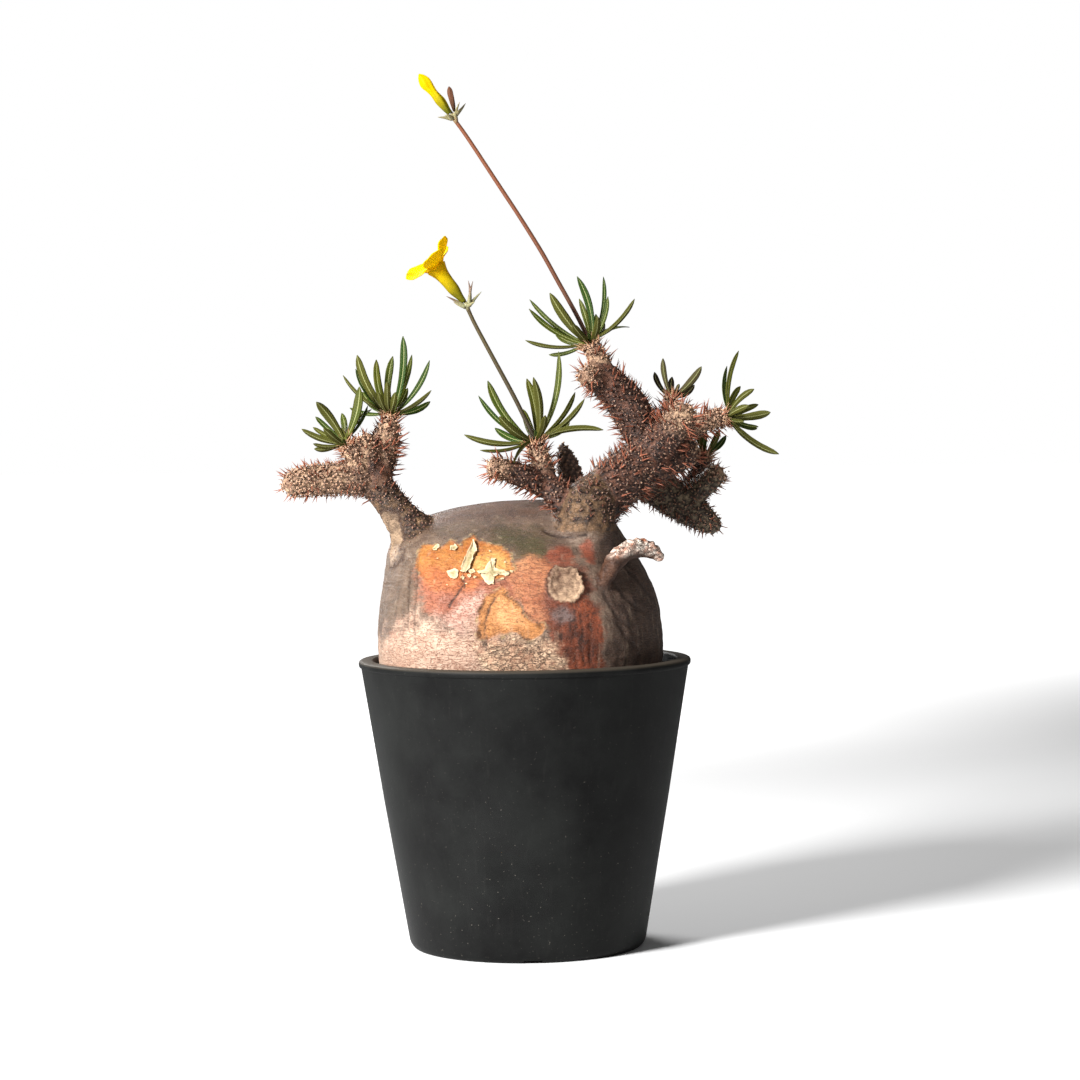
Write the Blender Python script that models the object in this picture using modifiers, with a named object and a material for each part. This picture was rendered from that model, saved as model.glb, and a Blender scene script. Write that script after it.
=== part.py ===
"""A caudex-forming pachypodium with spiny branches, leaf rosettes and two yellow flower stalks, in a pot.

Metres, +Z up. The origin is the centre of the flat underside of the tapered black plastic pot, and -Y is the
side that shows best.
"""

import math

import bmesh
import bpy
import numpy as np
from mathutils import Matrix, Vector, noise

MM = 0.001
GAP = 0.35 * MM

# Pot: a thick-walled tapered tub with a rolled rim, a foot ring and drain holes.
RIM_RADIUS = 75 * MM
POT_HEIGHT = 130 * MM
FOOT_RADIUS = 53 * MM
RIM_WIDTH = 6.8 * MM
RIM_BAND = 3.2 * MM
RIM_PROUD = 0.6 * MM
FLOOR_TOP = 5.2 * MM
FOOT_RECESS = 1.6 * MM
FOOT_RING_WIDTH = 6 * MM
CENTRE_PAD_RADIUS = 10 * MM
INNER_FOOT_STEP = 6.6 * MM
POT_SEGMENTS = 40
DRAIN_HOLES = 6
DRAIN_RADIUS = 4.5 * MM
DRAIN_CIRCLE = 28 * MM
DRAIN_SIDES = 10
FOOT_NOTCHES = 4
NOTCH_WIDTH = 8 * MM

# Soil: a coarse mineral mix that fills the pot to a little below the rim.
SOIL_LEVEL = 114 * MM
SOIL_CLEAR = 3 * GAP
SOIL_GRAIN = 2.65 * MM
SOIL_RELIEF = 1.1 * MM
SOIL_SEGMENTS = 48

# Caudex: level sections from the root's tip to the crown of the swelling, as
# (height, half width, half depth, centre x, centre y) in millimetres.
CAUDEX_SECTIONS = [
    (38, 0, 0, -2, 0),
    (39, 3, 3, -2, 0),
    (52, 6, 6, -2, 0),
    (66, 11, 11, -2, 0),
    (76, 24, 23, -2, 0),
    (84, 38, 36, -2, 0),
    (94, 49, 46, -2, 0),
    (105, 56.5, 53, -2, 0),
    (116, 61.2, 57, -2, 0),
    (125, 63.4, 59, -1.9, 0),
    (134, 64.3, 60, -1.8, 0),
    (144, 64, 60, -2.1, 0),
    (153, 63, 58.6, -2.3, 0),
    (161, 61.3, 56, -2.8, 0.2),
    (169, 58.9, 52.6, -4, 0.5),
    (177, 56, 47, -5.6, 1),
    (184, 52.6, 39.5, -6.6, 2),
    (190, 47.6, 31, -5.6, 3),
    (195, 40, 22, -2.4, 4),
    (198.6, 29, 14, 1, 4),
    (200.8, 15, 7.5, 4, 4),
    (201.5, 0, 0, 5, 4),
]
CAUDEX_SEGMENTS = 34
CAUDEX_SQUARENESS = 2.25
CAUDEX_LUMP = 1.3 * MM
CAUDEX_LUMP_SIZE = 24 * MM
CAUDEX_LUMPS_AROUND = 1.6
SMOOTH_ROOT_WIDTH = 12 * MM

# Limbs: the centreline of each branch, root to tip, as (x, y, z, radius) in millimetres. Each root lies
# inside the caudex or the limb that it grows from, and each tip ends in a dome.
LIMBS = {
    "west_stem": [(-37, -8, 171, 18), (-47.2, -8, 184, 12.8), (-54.6, -8, 194.4, 8.6), (-60.3, -8, 202, 7.6),
                  (-64.4, -8, 208, 7.6), (-66, -8, 214, 7.6)],
    "west_arm": [(-65, -8, 210, 6), (-72, -9, 212, 7.8), (-80, -11, 212.3, 7.5), (-90, -14, 211.7, 7.1),
                 (-98, -17, 211.2, 6.7), (-101.5, -18.4, 210.4, 6)],
    "west_tall": [(-66, -8, 211, 7.6), (-64.4, -6, 218, 7.4), (-62.4, -4, 226, 7), (-60.6, -2, 232, 5.8),
                  (-60.1, -1.6, 235, 5)],
    "west_short": [(-66, -8, 214, 6), (-72, -12, 220, 5.6), (-76, -15, 224.4, 4.8)],
    "west_knob": [(-66, -9, 213, 6), (-69, -11, 221, 6), (-71.2, -12.4, 227, 5.4)],
    "trunk": [(31, -15, 164, 20), (29, -19, 177, 15.8), (27.5, -21, 188, 14.7), (28.5, -19, 197, 13.2),
              (33, -14, 203, 11.4)],
    "centre_fork": [(26, -19, 190, 8), (20, -20, 199, 7), (14, -19.5, 205.5, 6.4), (10, -19, 210, 5.8)],
    "centre_arm": [(12, -19, 206, 5), (5, -21, 210.3, 5.6), (-3, -24.4, 214, 5.5), (-9, -27.2, 216, 5.2),
                   (-11.6, -28.4, 216.6, 4.8)],
    "centre_tall": [(13, -19, 205, 5), (10.6, -18.6, 212, 5), (8.4, -18.2, 219, 4.8), (7.2, -18, 223, 4.6)],
    "centre_cone": [(26, -8, 197, 5), (22.8, -4, 205, 6), (21, -1, 214, 5.4), (19.2, 0.4, 221, 3.9),
                    (18.2, 1, 225, 2.2)],
    "main_limb": [(27, -16, 194, 12), (36, -12, 203.5, 12.2), (45, -7.6, 211, 11.8), (54, -4.6, 218, 10.8),
                  (60, -4, 224, 9.4)],
    "knob_arm": [(55, -4, 219, 8.6), (63, -9, 228, 8), (68.6, -14, 235, 7.3), (71, -16, 237.6, 6.8)],
    "lower_arm": [(48, -1, 212, 9), (59, -1, 216, 8.8), (68, 0, 219.6, 7.8), (73.5, 0, 222.4, 6.6)],
    "back_shoot": [(60, 0, 224, 5), (64, 4, 231, 4.8), (66, 8, 239, 4.5), (67, 9.6, 242.5, 4.3)],
    "top_limb": [(57, -1, 222, 8.4), (53.5, -2, 232, 9), (47.5, -4, 243.6, 9), (41, -5, 251, 8.5),
                 (36, -6, 257, 7.4), (34.5, -6, 259, 6.4)],
    "top_knob": [(38, -6, 253, 6.4), (33.5, -9.5, 255.5, 6.2), (30.4, -11.6, 256.4, 5.6)],
    "top_tall": [(38, -5.5, 255, 6.2), (35.8, -6, 261, 5.5), (33, -6, 266.8, 4.7)],
    "east_arm": [(62, 4, 224, 5), (72, 12, 229.5, 5), (80, 14.4, 234, 4.8), (86, 13.5, 236.2, 4.7),
                 (88.8, 12.8, 236.8, 4.6)],
    "low_limb": [(41, 0, 206, 9), (50, 15, 208.4, 8), (58, 21.6, 206.4, 7.8), (66, 24, 202.2, 8.6),
                 (73, 24.4, 198, 8.6), (80, 24, 193, 7.2), (86, 23.4, 188.6, 5.2)],
    "low_arm": [(70, 23, 200, 6), (77, 21, 202.5, 6), (83, 18.6, 207, 5.7), (87.6, 17, 211, 5.3)],
    "low_shoot": [(72, 25, 200, 5), (78, 28, 207, 4.9), (81.5, 30, 213, 4.5), (82.8, 31, 216.4, 4.3)],
}
LIMB_STEPS = 2
LIMB_SIDES_BY_RADIUS = [(7 * MM, 2), (20 * MM, 3), (99 * MM, 4)]

# Callus horn: the curled dry stub on the caudex's front right, with the round scar of a lost branch by it.
HORN = [(34.6, -43, 163, 2.6), (36.6, -44.4, 168.5, 3.6), (40, -43, 175, 4.2), (46, -39, 179.6, 4.4),
        (52, -35, 180.8, 4.2), (57, -33, 179, 3.6), (60, -32, 176.8, 2.6)]
SCAR_CENTRE = (18.5, -51.8, 165.8)
SCAR_INWARD = (-0.3, 1, -0.36)
SCAR_RADIUS = 8.9 * MM
SCAR_TOP_RADIUS = 7.6 * MM
SCAR_ROOT = 4.6 * MM
SCAR_RISE = 1.6 * MM
SCAR_SIDES = 18

# Spines: three-sided, at their true size, fewer than on the plant.
SPINE_LENGTH = 4.6 * MM
SPINE_RADIUS = 0.62 * MM
SPINE_ROOT = 1 * MM
SPINE_AREA = 58 * MM * MM
SPINE_LEAN = 0.45
SPINE_LEAF_CLEAR = 1.5 * MM
SPINE_FREE_LIMB = "centre_cone"
GOLDEN_ANGLE = math.pi * (3 - math.sqrt(5))

# Leaf rosettes. Each has the limb that bears it, the side of its crown, and its leaves as
# (angle in the XZ plane, angle away from the viewer, length, width), in degrees and millimetres.
ROSETTES = {
    "leaves_west_upper": ("west_tall", 2.6, [
        (138, -8, 28, 2.6), (126, 18, 28, 3), (117, -12, 31.5, 5.2), (104, 24, 29, 4.2), (87, 10, 27.5, 4),
        (80, 2, 36.5, 4.2), (71, 30, 34, 3), (54, 6, 31, 3.2), (31, -10, 22.5, 2.8), (90, -52, 25, 4),
        (72, -56, 20, 3.6), (112, -50, 18, 3.2), (60, 52, 24, 3.6), (140, 48, 26, 3.8), (20, 38, 24, 3.6),
        (168, 30, 22, 3.2)]),
    "leaves_west_lower": ("west_short", 2.4, [
        (160, -4, 20.5, 3.8), (178, -22, 15, 2.4), (152, 14, 17, 2.6), (137, 10, 18.5, 3), (123, -10, 23, 5),
        (76, 12, 27, 5.4), (60, 20, 21, 2.2), (54, 34, 23, 3.8), (188, -6, 14, 3.4), (100, 50, 22, 4),
        (140, -48, 17, 3.6)]),
    "leaves_centre": ("centre_tall", 3.2, [
        (173, -6, 32, 3.4), (187, -14, 25.5, 2.6), (140, 14, 34, 2.8), (127, 6, 35, 4.4), (143, -38, 25, 5),
        (97, 16, 30, 4.4), (91, -10, 29.5, 4.6), (75, 4, 42, 3.8), (51, 22, 31, 2.8), (41, -8, 29.5, 3.2),
        (10, -8, 31, 4.2), (222, -50, 20, 3.6), (110, 58, 30, 4.2), (30, 50, 28, 4), (160, 46, 28, 4),
        (70, -54, 22, 4)]),
    "leaves_top": ("top_tall", 3.2, [
        (176, -14, 30, 2.4), (193, 18, 20, 2.6), (149, 6, 32, 3.4), (142, 26, 38, 2.6), (128, -18, 30.5, 5),
        (133, -50, 18, 4.4), (100, 8, 31.5, 4), (102, 34, 26, 3.2), (78, 44, 20, 3), (78, 22, 34, 2.4),
        (69, 2, 23, 3.2), (45, -4, 28.5, 2.8), (60, 60, 26, 3.8), (160, 54, 28, 3.8), (24, 40, 26, 3.4),
        (75, -56, 22, 3.8)]),
    "leaves_back": ("back_shoot", 2.2, [
        (102, -6, 19, 3), (64, -20, 8, 2.2), (47, -8, 20, 4), (120, 44, 20, 3.4), (30, 50, 20, 3.4),
        (84, 62, 22, 3.6)]),
    "leaves_east": ("east_arm", 2.5, [
        (79, 6, 31, 3), (88, 20, 25, 3.2), (46, -10, 18, 3.4), (6, -8, 20, 4.6), (-14, -40, 10, 2.6),
        (-17, 10, 15.5, 2.4), (-36, -6, 29, 4.6), (20, 46, 24, 3.8), (62, 48, 24, 3.8), (-20, 44, 22, 3.6),
        (30, -54, 18, 3.6)]),
    "leaves_low": ("low_shoot", 2.3, [
        (103, -4, 13, 3.4), (60, -6, 13.5, 3.6), (84, 46, 18, 3.4), (40, 40, 18, 3.4), (130, 36, 17, 3.2)]),
}
CROWN_SIDES = 8
CROWN_PEG = 2.6 * MM
CROWN_RISE = 2.2 * MM
CROWN_STEP = 0.7
CROWN_TAPER = 0.8
LEAF_STATIONS = [(0, 0.34), (0.34, 0.72), (0.68, 1), (0.9, 0.7)]
LEAF_THICKNESS = 0.85 * MM
LEAF_KEEL = 0.7
LEAF_FOLD = 0.2
LEAF_ARCH = 0.08
LEAF_TURN = 1.5
LEAF_ROOT_SHARE = 0.62
LEAF_ROOT_RISE = 1.15 * MM

# Flower stalks: the rosette that each stands in, and its path, base to top, as (x, y, z, radius) in
# millimetres. Each ends in a small round head, and so does the side stalk that bears the small bud.
STALKS = {
    "stalk_tall": ("leaves_top", [
        (31, -6, 272, 1.05), (24.5, -6, 285.2, 1), (17, -6, 299, 1), (9.7, -6, 312.4, 1),
        (0.2, -6, 328, 0.95), (-9.2, -6, 342.6, 0.95), (-22.2, -6, 362.8, 0.9), (-28.2, -6, 371.4, 0.95),
        (-29.5, -6, 373.2, 1.6)]),
    "stalk_short": ("leaves_centre", [
        (6, -18, 228.5, 1.05), (1.7, -18, 237.4, 1), (-3.5, -18, 248.2, 1), (-12.9, -18, 266, 0.95),
        (-20, -18, 279.6, 0.9), (-23.2, -18, 286.6, 0.95), (-23.9, -18, 288.6, 1.6)]),
}
SIDE_STALK = [(-27.6, -6.2, 370.4, 0.7), (-27.8, -7.6, 372.4, 0.8), (-28.3, -8.6, 374, 0.9)]
STALK_HOLE_RADIUS = 1.42 * MM
STALK_HOLE_LENGTH = 9 * MM
SEPALS = {
    "stalk_tall": [
        (175, -20, 6.6), (150, 30, 4.6), (72, 30, 8.6), (52, 25, 8.8), (112, 34, 5.6), (150, -52, 5)],
    "stalk_short": [
        (150, -16, 10), (155, 34, 7.4), (48, 10, 8.6), (91, 8, 11.4), (80, -8, 11.2), (112, 34, 7.6),
        (30, -46, 5)],
}
SEPAL_RADIUS = 0.5 * MM
SEPAL_TIP_RADIUS = 0.1 * MM
SEPAL_ROOT = 0.6

# Corollas, each seated on a stalk's head. The open one has a tube that widens to a throat, and five lobes,
# given by the angles in degrees by which they spread from its axis and roll about their own. The closed ones
# are twisted spindles, given by their way, length and (share of the length, radius in millimetres).
FLOWER_AXIS = (-0.62, 0, 0.785)
FLOWER_TUBE = [(0, 1.3), (3, 1.7), (7, 2.6), (12, 2.8), (16, 3.1), (19.5, 4.4)]
FLOWER_WALL = 0.7 * MM
FLOWER_SIDES = 10
FLOWER_UPPER_SIDE = (0.79, 0, 0.61)
THROAT_DEPTH = 1.4
PETAL_TURN = -15
PETALS = [(42, -8), (60, 0), (50, 8), (62, -32), (62, 4)]
PETAL_LENGTH = 13.5 * MM
PETAL_WIDTH = 10 * MM
PETAL_ROOT_OUT = 2.6 * MM
PETAL_SKEW = 0.12
PETAL_CUP = 0.14
PETAL_OUTLINE = [(0, 0.42), (0.38, 0.82), (0.74, 1), (1, 0.5)]
BUDS = {
    "bud_large": ((-0.611, 0, 0.792), 22.2, [
        (0, 0.9), (0.1, 1.5), (0.3, 2.1), (0.5, 1.7), (0.62, 2), (0.78, 2.6), (0.92, 1.6), (1, 0.3)]),
    "bud_small": ((-0.2, -0.02, 0.98), 11.4, [
        (0, 0.5), (0.2, 0.9), (0.5, 1.15), (0.75, 1.25), (0.9, 0.9), (1, 0.2)]),
}
BUD_SIDES = 10
BUD_RINGS = 6
BUD_FURROWS = 5
BUD_FURROW_DEPTH = 0.07
BUD_TWIST = 70

COLOURS = {
    "pot_plastic": ((0.035, 0.037, 0.036), 0.55),
    "soil_mix": ((0.23, 0.17, 0.12), 0.95),
    "bark": ((0.36, 0.24, 0.17), 0.6),
    "leaf": ((0.12, 0.19, 0.05), 0.5),
    "stalk": ((0.34, 0.22, 0.13), 0.5),
    "petal": ((0.9, 0.72, 0.02), 0.45),
    "small_bud": ((0.42, 0.2, 0.15), 0.5),
}


def mm(*values):
    return Vector(values) * MM


def clear_scene():
    for obj in list(bpy.data.objects):
        bpy.data.objects.remove(obj, do_unlink=True)


def make_collection(name, parent):
    made = bpy.data.collections.new(name)
    parent.children.link(made)
    return made


def make_material(name):
    colour, roughness = COLOURS[name]
    made = bpy.data.materials.new(name)
    made.use_nodes = True
    shader = made.node_tree.nodes["Principled BSDF"]
    shader.inputs["Base Color"].default_value = (*colour, 1)
    shader.inputs["Roughness"].default_value = roughness
    shader.inputs["Metallic"].default_value = 0
    made.diffuse_color = (*colour, 1)
    return made


def mesh_object(name, bm, collection):
    """Turns a bmesh into a named object."""
    bmesh.ops.recalc_face_normals(bm, faces=bm.faces)
    mesh = bpy.data.meshes.new(name)
    bm.to_mesh(mesh)
    bm.free()
    obj = bpy.data.objects.new(name, mesh)
    collection.objects.link(obj)
    return obj


def baked(obj):
    """Replaces an object's mesh with the one that its modifiers give."""
    graph = bpy.context.evaluated_depsgraph_get()
    mesh = bpy.data.meshes.new_from_object(obj.evaluated_get(graph))
    obj.modifiers.clear()
    obj.data = mesh
    return obj


def curve_as_mesh(obj, collection):
    """A beveled curve made a closed mesh, with its caps welded on."""
    graph = bpy.context.evaluated_depsgraph_get()
    mesh = bpy.data.meshes.new_from_object(obj.evaluated_get(graph))
    bm = bmesh.new()
    bm.from_mesh(mesh)
    bmesh.ops.transform(bm, matrix=obj.matrix_world, verts=bm.verts)
    bmesh.ops.remove_doubles(bm, verts=bm.verts, dist=0.01 * MM)
    name = obj.name
    bpy.data.objects.remove(obj, do_unlink=True)
    return mesh_object(name, bm, collection)


def boolean(obj, operation, collection, solver="EXACT"):
    """Joins or cuts an object with everything in a collection, then removes what was in it."""
    modifier = obj.modifiers.new(operation.lower(), "BOOLEAN")
    modifier.operation = operation
    modifier.solver = solver
    modifier.operand_type = "COLLECTION"
    modifier.collection = collection
    baked(obj)
    for used in list(collection.objects):
        bpy.data.objects.remove(used, do_unlink=True)
    return obj


def turned(name, profile, segments, collection):
    """A closed solid turned about Z from a profile of (radius, height) that runs down its outer side."""
    mesh = bpy.data.meshes.new(name)
    mesh.from_pydata([(r, 0, z) for r, z in profile], [(i, i + 1) for i in range(len(profile) - 1)], [])
    obj = bpy.data.objects.new(name, mesh)
    collection.objects.link(obj)
    screw = obj.modifiers.new("turn", "SCREW")
    screw.steps = segments
    screw.render_steps = segments
    screw.use_merge_vertices = True
    screw.merge_threshold = 0.01 * MM
    return baked(obj)


def cylinder(name, start, end, radius, sides, collection, end_radius=None):
    """A closed cylinder or cone between two points."""
    bm = bmesh.new()
    axis = Vector(end) - Vector(start)
    turn = axis.to_track_quat("Z", "Y").to_matrix().to_4x4()
    bmesh.ops.create_cone(
        bm,
        cap_ends=True,
        segments=sides,
        radius1=radius,
        radius2=radius if end_radius is None else end_radius,
        depth=axis.length,
        matrix=Matrix.Translation((Vector(start) + Vector(end)) / 2) @ turn,
    )
    return mesh_object(name, bm, collection)


def smooth_path(points, steps):
    """A Catmull-Rom curve through points, with a number of steps between each two."""
    p = np.array(points, float)
    ends = np.vstack([2 * p[0] - p[1], p, 2 * p[-1] - p[-2]])
    made = []
    for i in range(1, len(ends) - 2):
        a, b, c, d = ends[i - 1 : i + 3]
        for t in np.arange(steps) / steps:
            curved = (2 * a - 5 * b + 4 * c - d) * t**2 + (3 * b - a - 3 * c + d) * t**3
            made.append(0.5 * (2 * b + (c - a) * t + curved))
    made.append(p[-1])
    return np.array(made)


def domed_path(points, steps):
    """The smooth path of a limb with a dome at its tip, as points and radii."""
    path = smooth_path(points, steps) * MM
    tip, before = Vector(path[-1][:3]), Vector(path[-2][:3])
    radius, ahead = path[-1][3], (tip - before).normalized()
    dome = [
        [*(tip + ahead * radius * math.sin(a)), radius * math.cos(a)]
        for a in (math.radians(45), math.radians(76))
    ]
    return np.vstack([path, dome])


def tube(name, path, resolution, collection):
    """A closed tube along a path of (x, y, z, radius) in metres."""
    curve = bpy.data.curves.new(name, "CURVE")
    curve.dimensions = "3D"
    curve.bevel_depth = 1
    curve.bevel_resolution = resolution
    curve.use_fill_caps = True
    spline = curve.splines.new("POLY")
    spline.points.add(len(path) - 1)
    for point, (x, y, z, radius) in zip(spline.points, path):
        point.co = (x, y, z, 1)
        point.radius = radius
    obj = bpy.data.objects.new(name, curve)
    collection.objects.link(obj)
    return curve_as_mesh(obj, collection)


def pot_profile():
    slope = (RIM_RADIUS - FOOT_RADIUS) / POT_HEIGHT

    def outer(z):
        return FOOT_RADIUS + slope * z

    ring_inner = FOOT_RADIUS - FOOT_RING_WIDTH
    band = POT_HEIGHT - RIM_BAND
    return [
        (0, FLOOR_TOP),
        (outer(0) - 9 * MM, FLOOR_TOP),
        (outer(0) - INNER_FOOT_STEP, FLOOR_TOP + 2.6 * MM),
        (RIM_RADIUS - RIM_WIDTH - 0.2 * MM, POT_HEIGHT - 1.2 * MM),
        (RIM_RADIUS - RIM_WIDTH + 0.8 * MM, POT_HEIGHT),
        (RIM_RADIUS - 1.4 * MM, POT_HEIGHT),
        (RIM_RADIUS - 0.3 * MM, POT_HEIGHT - 0.4 * MM),
        (RIM_RADIUS, POT_HEIGHT - 1.4 * MM),
        (RIM_RADIUS - 0.1 * MM, band + 0.5 * MM),
        (outer(band) - RIM_PROUD, band),
        (outer(3.4 * MM), 3.4 * MM),
        (outer(0) - 0.5 * MM, 1.1 * MM),
        (outer(0) - 2 * MM, 0),
        (ring_inner, 0),
        (ring_inner - 0.8 * MM, FOOT_RECESS),
        (CENTRE_PAD_RADIUS + 0.8 * MM, FOOT_RECESS),
        (CENTRE_PAD_RADIUS, 0),
        (0, 0),
    ]


def make_pot(collection, cutters):
    pot = turned("pot", pot_profile(), POT_SEGMENTS, collection)
    for i in range(DRAIN_HOLES):
        turn = 2 * math.pi * (i + 0.5) / DRAIN_HOLES
        x, y = DRAIN_CIRCLE * math.cos(turn), DRAIN_CIRCLE * math.sin(turn)
        low, high = (x, y, -2 * MM), (x, y, FLOOR_TOP + 2 * MM)
        cylinder(f"drain_{i}", low, high, DRAIN_RADIUS, DRAIN_SIDES, cutters)
    for i in range(FOOT_NOTCHES):
        bm = bmesh.new()
        size = Matrix.Diagonal((FOOT_RING_WIDTH * 3, NOTCH_WIDTH, FOOT_RECESS * 1.5, 1))
        turn = Matrix.Rotation(2 * math.pi * (i - 0.97) / FOOT_NOTCHES, 4, "Z")
        place = Matrix.Translation((FOOT_RADIUS - FOOT_RING_WIDTH / 2, 0, 0))
        bmesh.ops.create_cube(bm, size=1, matrix=turn @ place @ size)
        mesh_object(f"notch_{i}", bm, cutters)
    return boolean(pot, "DIFFERENCE", cutters)


def caudex_section(share):
    """The level section at a share of the way from the root's tip to the top."""
    rows = np.array(CAUDEX_SECTIONS)
    at = share * (len(rows) - 1)
    return [float(np.interp(at, range(len(rows)), rows[:, k])) * MM for k in range(5)]


def caudex_mesh(name, collection, grow=0):
    """A UV sphere whose rings are laid on the caudex's sections, with the soft lumps of the living skin."""
    bm = bmesh.new()
    bmesh.ops.create_uvsphere(bm, u_segments=CAUDEX_SEGMENTS, v_segments=len(CAUDEX_SECTIONS) - 1, radius=1)
    power = 2 / CAUDEX_SQUARENESS
    for vert in bm.verts:
        x, y, z = vert.co
        share = 1 - math.acos(max(-1, min(1, z))) / math.pi
        height, half_width, half_depth, cx, cy = caudex_section(share)
        turn = math.atan2(y, x)
        c, s = math.cos(turn), math.sin(turn)
        spot = Vector((c * CAUDEX_LUMPS_AROUND, s * CAUDEX_LUMPS_AROUND, height / CAUDEX_LUMP_SIZE))
        lump = CAUDEX_LUMP * noise.noise(spot)
        out = (lump if half_width > SMOOTH_ROOT_WIDTH else 0) + grow
        ring = math.hypot(x, y)
        vert.co = (
            cx + math.copysign(abs(c) ** power, c) * (half_width + out) * (ring > 1e-6),
            cy + math.copysign(abs(s) ** power, s) * (half_depth + out) * (ring > 1e-6),
            height + grow * (2 * share - 1),
        )
    return mesh_object(name, bm, collection)


def make_soil(collection, cutters):
    """The fill: as wide as the pot's inside less a gap, with a grainy top and a hole for the caudex."""
    inner_foot = FOOT_RADIUS - INNER_FOOT_STEP - SOIL_CLEAR
    inner_rim = RIM_RADIUS - RIM_WIDTH - SOIL_CLEAR
    floor = FLOOR_TOP + GAP
    at_level = inner_foot + (inner_rim - inner_foot) * (SOIL_LEVEL - floor) / (POT_HEIGHT - floor)
    profile = [
        (0, SOIL_LEVEL),
        (at_level - 16 * MM, SOIL_LEVEL),
        (at_level - 8 * MM, SOIL_LEVEL),
        (at_level - 4 * MM, SOIL_LEVEL),
        (at_level - 1 * MM, SOIL_LEVEL),
        (at_level, SOIL_LEVEL - 2.2 * MM),
        (inner_foot, floor + 4 * MM),
        (inner_foot - 2.6 * MM, floor),
        (0, floor),
    ]
    soil = turned("soil", profile, SOIL_SEGMENTS, collection)
    for vert in soil.data.vertices:
        if vert.co.z > SOIL_LEVEL - 1 * MM:
            vert.co.z += SOIL_RELIEF * noise.noise(vert.co / SOIL_GRAIN)
    caudex_mesh("caudex_hole", cutters, grow=GAP)
    return boolean(soil, "DIFFERENCE", cutters)


def limb_resolution(path):
    widest = max(path[:, 3])
    return next(n for radius, n in LIMB_SIDES_BY_RADIUS if widest < radius)


def limb_frames(path):
    """Centre, direction, two side vectors, radius and run at each point of a limb's path."""
    points = [Vector(p[:3]) for p in path]
    run = 0
    for i, centre in enumerate(points):
        ahead = (points[min(i + 1, len(points) - 1)] - points[max(i - 1, 0)]).normalized()
        side = ahead.orthogonal().normalized()
        run += (centre - points[i - 1]).length if i else 0
        yield centre, ahead, side, ahead.cross(side), path[i][3], run


def inside_other(point, own, paths):
    """Whether a point lies inside the caudex or inside a limb other than its own."""
    rows = np.array(CAUDEX_SECTIONS) * MM
    if point.z < rows[-1][0]:
        half_width, half_depth, cx, cy = (np.interp(point.z, rows[:, 0], rows[:, k]) for k in range(1, 5))
        if half_width > 1 * MM:
            if ((point.x - cx) / half_width) ** 2 + ((point.y - cy) / half_depth) ** 2 < 1.1:
                return True
    for name, path in paths.items():
        if name != own:
            away = np.linalg.norm(path[:, :3] - np.array(point), axis=1) - path[:, 3]
            if away.min() < 0.3 * MM:
                return True
    return False


def spine_spots(name, path, paths):
    """Points on a limb's skin along a golden spiral, with the way that a spine points there."""
    frames = list(limb_frames(path))
    runs = [f[5] for f in frames]
    areas = np.concatenate(
        [[0], np.cumsum([math.pi * (a[4] + b[4]) * (b[5] - a[5]) for a, b in zip(frames, frames[1:])])]
    )
    for i in range(int(areas[-1] / SPINE_AREA)):
        at = np.interp((i + 0.5) * SPINE_AREA, areas, runs)
        k = min(np.searchsorted(runs, at), len(frames) - 1)
        a, b = frames[max(k - 1, 0)], frames[k]
        share = (at - a[5]) / (b[5] - a[5]) if b[5] > a[5] else 0
        turn = i * GOLDEN_ANGLE
        out = (a[2] * math.cos(turn) + a[3] * math.sin(turn)).normalized()
        spot = a[0].lerp(b[0], share) + out * (a[4] + (b[4] - a[4]) * share)
        if not inside_other(spot, name, paths):
            yield spot, (out + a[1] * SPINE_LEAN).normalized()


def near_leaf(spot, tip, leaf_points):
    probes = [spot.lerp(tip, t) for t in (0.25, 0.5, 0.75, 1)]
    return any(np.linalg.norm(leaf_points - np.array(p), axis=1).min() < SPINE_LEAF_CLEAR for p in probes)


def leaf_way(angle, depth):
    """The direction of a leaf from its angle in the XZ plane and its angle away from the viewer."""
    a, b = math.radians(angle), math.radians(depth)
    return Vector((math.cos(a) * math.cos(b), math.sin(b), math.sin(a) * math.cos(b)))


def tip_frame(limb):
    """The very tip of a limb and the way that it points."""
    path = domed_path(LIMBS[limb], LIMB_STEPS)
    tip, before = Vector(path[-1][:3]), Vector(path[-3][:3])
    return tip, (tip - before).normalized()


def leaf_line(limb, radius, way, length):
    """Points along a leaf's midrib, from just inside the crown's edge, arching a little over to its tip."""
    tip, axis = tip_frame(limb)
    flat = way - axis * way.dot(axis)
    start = tip + axis * LEAF_ROOT_RISE + flat.normalized() * radius * LEAF_ROOT_SHARE
    end = tip + way * length
    middle = (start + end) / 2 + flat.cross(way).cross(way).normalized() * -LEAF_ARCH * length
    return [
        start * (1 - t) ** 2 + middle * 2 * t * (1 - t) + end * t**2
        for t in [s for s, _ in LEAF_STATIONS] + [1]
    ]


def leaf_side(limb, angle, depth):
    """The direction across a leaf, whose upper face turns towards the rosette's middle."""
    way = leaf_way(angle, depth)
    _, axis = tip_frame(limb)
    inward = axis + Vector((0, -LEAF_TURN if depth >= 0 else LEAF_TURN, 0))
    return way.cross(inward).normalized()


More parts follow.
